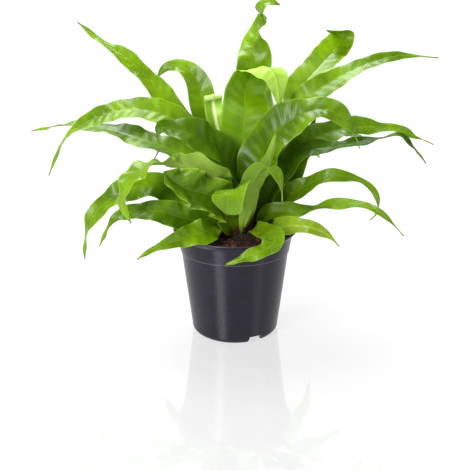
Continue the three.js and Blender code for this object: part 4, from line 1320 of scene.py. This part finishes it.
@dataclass
class Crown:
    """The short upright rhizome, covered in narrow brown scales between the stalks."""

    sides: int = 96
    radius: float = 23.0
    dome_rows: int = 20
    bottom: float = 86.0
    foot_rounding: float = 4.0
    neck_top: float = 99.0
    dome_foot: float = 102.0
    dome_height: float = 10.5
    bump: float = 0.8
    bump_pitch: float = 4.5
    bump_seed: int = 11
    scales: int = 520
    scale_length: tuple[float, float] = (5.0, 10.0)
    scale_width: float = 1.5
    scale_thickness: float = 0.24
    scale_depth: float = 0.4
    scale_lean: tuple[float, float] = (0.5, 1.25)
    scale_curl: tuple[float, float] = (0.5, 1.2)
    scale_knots: int = 6

    def dome(self, turn: Numbers, rise: Numbers) -> Numbers:
        """A place on the crown's top.

        Formula: out from the centre by the radius times the cosine of the rise, and up by the
        dome's height times its sine, with low bumps from value noise.

        Args:
            turn: Plan directions in radians.
            rise: From 0 at the widest ring to a quarter turn at the top.

        Returns:
            Places in mm.
        """
        x = CROWN_CENTRE[0] + self.radius * np.cos(rise) * np.cos(turn)
        y = CROWN_CENTRE[1] + self.radius * np.cos(rise) * np.sin(turn)
        bump = self.bump * value_noise(x, y, self.bump_pitch, self.bump_seed)
        z = self.dome_foot + self.dome_height * np.sin(rise) + bump
        return np.stack(np.broadcast_arrays(x, y, z), axis=-1)

    def body(self) -> Form:
        """The rhizome's body: a neck in the medium and a rough dome.

        Returns:
            The closed solid.
        """
        rounding = self.foot_rounding
        neck = level_rings([
            [CROWN_NECK - rounding, self.bottom], [CROWN_NECK, self.bottom + rounding],
            [CROWN_NECK, self.neck_top],
        ], self.sides, CROWN_CENTRE)
        rise = np.linspace(0, np.pi / 2, self.dome_rows)[:-1, None]
        rings = np.concatenate([neck, self.dome(round_turns(self.sides), rise)])
        top = self.dome_foot + self.dome_height
        return ring_solid([*CROWN_CENTRE, self.bottom], rings, [*CROWN_CENTRE, top])

    def scale_form(self) -> Form:
        """The scales: narrow pointed blades that stand up and out between the stalks.

        Formula: each is a lens in plan, its half width the sine of its share of the length, bent
        over by the square of that share, and set on the dome at turns of the golden angle.

        Returns:
            All the scales in one form.
        """
        rng = np.random.default_rng(SEED + 3)
        number = np.arange(self.scales)
        turn = number * math.pi * (3 - math.sqrt(5))
        rise = np.arccos(np.sqrt((number + 0.5) / self.scales))
        root = self.dome(turn, rise) - [0, 0, self.scale_depth]
        out = np.stack([np.cos(turn), np.sin(turn), np.zeros(self.scales)], axis=1)
        lean = rng.uniform(*self.scale_lean, self.scales)[:, None]
        way = out * np.sin(lean) + np.array([0, 0, 1.0]) * np.cos(lean)
        side = np.cross(way, out + [0, 0, 1e-3])
        side /= np.linalg.norm(side, axis=1)[:, None]
        bend = np.cross(side, way)
        part = np.linspace(0, 1, self.scale_knots)[:, None]
        length = rng.uniform(*self.scale_length, self.scales)[:, None, None]
        curl = rng.normal(*self.scale_curl, self.scales)[:, None, None] * part**2
        middle = root[:, None] + way[:, None] * part * length + bend[:, None] * curl
        half = self.scale_width / 2 * np.sin(np.pi * np.clip(part * 0.85 + 0.15, 0, 1)) + 0.06
        wing, thick = side[:, None] * half, bend[:, None] * self.scale_thickness / 2
        return strands(np.stack([middle - wing, middle - thick, middle + wing, middle + thick],
                                axis=2))

    def build(self) -> None:
        """Makes the rhizome's body and its scales."""
        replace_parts(self.body().piece("rhizome", RHIZOME, 60), "crown")
        self.scale_form().piece("rhizome_scales", SCALE, 60)


@dataclass
class Studio:
    """A wide white gloss table under soft lights, and the camera that took the usual view."""

    table_colour: str = "#727274"
    table_roughness: float = 0.04
    table_index: float = 2.7
    table_half: float = 30000.0
    mirror_y: float = -150.0
    # the table's own glow, painted light: where it starts and ends rising, and its strength near
    # and far
    glow_from: float = 90.0
    glow_to: float = 420.0
    glow_near: float = 0.66
    glow_far: float = 0.8
    air_colour: str = "#FDFDFF"
    glow_low: float = 0.5
    glow_high: float = 0.14
    glow_top: float = 0.9
    seen_white: float = 1.05
    # each lamp's name, place, width and height, and watts
    lamps: tuple[tuple, ...] = (
        ("key_left", (-620.0, -900.0, 620.0), (240.0, 900.0), 16.2),
        ("fill_right", (980.0, -640.0, 520.0), (300.0, 900.0), 4.0),
        ("top", (-240.0, 330.0, 1150.0), (800.0, 600.0), 20.0),
        ("wall", (0.0, 1700.0, 900.0), (3000.0, 1700.0), 5.0),
    )
    lamp_aim: tuple[float, float, float] = (0.0, 0.0, 150.0)
    eye: tuple[float, float, float] = (0.0, -658.0, 322.0)
    pitch_down: float = 18.85
    focal_pixels: float = 712.2
    image_side: float = 470.0
    sensor: float = 36.0
    clip: tuple[float, float] = (20.0, 100000.0)

    def table(self) -> None:
        """The table's level top: white acrylic whose own emission is painted light, with no lamp
        below.

        Its gloss mirrors the pot faintly. The painted glow keeps the distance white, and is least
        in front of the pot, where the mirror image lies.
        """
        half = self.table_half * MM
        mesh = bpy.data.meshes.new("studio_table")
        mesh.from_pydata([(-half, -half, 0), (half, -half, 0), (half, half, 0), (-half, half, 0)],
                         [], [(0, 1, 2, 3)])
        gloss = bpy.data.materials.new("white_acrylic")
        gloss.use_nodes = True
        tree = gloss.node_tree
        skin = tree.nodes["Principled BSDF"]
        spot = add(tree, "ShaderNodeTexCoord")
        away = add(tree, "ShaderNodeVectorMath", {
            0: spot.outputs["Object"], 1: (0.0, self.mirror_y * MM, 0.0),
        }, operation="DISTANCE")
        # painted light: the table glows by itself, least in front of the pot and more with distance
        table_glow = add(tree, "ShaderNodeMapRange", {
            "Value": away.outputs["Value"], "From Min": self.glow_from * MM,
            "From Max": self.glow_to * MM, "To Min": self.glow_near, "To Max": self.glow_far,
        }, interpolation_type="SMOOTHSTEP")
        fill(tree, skin, {
            "Base Color": linear(self.table_colour), "Roughness": self.table_roughness,
            "IOR": self.table_index, "Emission Color": (1.0, 1.0, 1.0, 1.0),
            "Emission Strength": table_glow.outputs[0],
        })
        mesh.materials.append(gloss)
        table = bpy.data.objects.new("studio_table", mesh)
        bpy.context.scene.collection.objects.link(table)

    def air(self) -> None:
        """The white room round the table: brightest at eye level, dimmer overhead.

        Its walls look plain white; what they shed on the plant is less than that.
        """
        world = bpy.data.worlds.new("studio_air")
        world.use_nodes = True
        tree = world.node_tree
        spot = add(tree, "ShaderNodeTexCoord")
        way = add(tree, "ShaderNodeSeparateXYZ", {0: spot.outputs["Generated"]})
        glow = add(tree, "ShaderNodeMapRange", {
            "Value": way.outputs[2], "From Max": self.glow_top,
            "To Min": self.glow_low, "To Max": self.glow_high,
        })
        sight = add(tree, "ShaderNodeLightPath")
        seen = add(tree, "ShaderNodeMix", {
            0: sight.outputs["Is Camera Ray"], 2: glow.outputs[0], 3: self.seen_white,
        })
        fill(tree, tree.nodes["Background"], {
            "Color": linear(self.air_colour), "Strength": seen.outputs[0],
        })
        bpy.context.scene.world = world

    def light(self, name: str, place: tuple[float, float, float], size: tuple[float, float],
              power: float) -> None:
        """Adds one soft box that faces the plant.

        Args:
            name: The light's name.
            place: Where it stands, in mm.
            size: Its width and height in mm.
            power: Its power in watts.
        """
        lamp = bpy.data.lights.new(name, "AREA")
        lamp.shape = "RECTANGLE"
        lamp.size, lamp.size_y = size[0] * MM, size[1] * MM
        lamp.energy = power
        box = bpy.data.objects.new(name, lamp)
        box.location = [v * MM for v in place]
        aim = np.array(self.lamp_aim) - place
        box.rotation_euler = (
            math.acos(-aim[2] / np.linalg.norm(aim)),
            0.0,
            math.atan2(aim[1], aim[0]) - math.pi / 2,
        )
        box.visible_camera = False
        bpy.context.scene.collection.objects.link(box)

    def camera(self) -> None:
        """Adds the camera, level across and pitched down."""
        lens = bpy.data.cameras.new("camera")
        lens.sensor_width = self.sensor
        lens.lens = self.focal_pixels / self.image_side * self.sensor
        lens.clip_start, lens.clip_end = (v * MM for v in self.clip)
        eye = bpy.data.objects.new("camera", lens)
        eye.location = [v * MM for v in self.eye]
        eye.rotation_euler = (math.radians(90 - self.pitch_down), 0.0, 0.0)
        bpy.context.scene.collection.objects.link(eye)
        bpy.context.scene.camera = eye

    def build(self) -> None:
        """Sets the table, the room, the lights and the camera."""
        self.table()
        self.air()
        for lamp in self.lamps:
            self.light(*lamp)
        scene = bpy.context.scene
        scene.view_settings.view_transform = "Standard"
        scene.view_settings.look = "None"
        self.camera()


def main() -> None:
    """Builds the pieces in order."""
    logging.basicConfig(level=logging.INFO, format="%(message)s")
    for part in (NurseryPot(), GrowingMedium(), Crown(), Rosette(), Studio()):
        LOG.info("building %s", type(part).__name__)
        part.build()


if __name__ == "__main__":
    main()
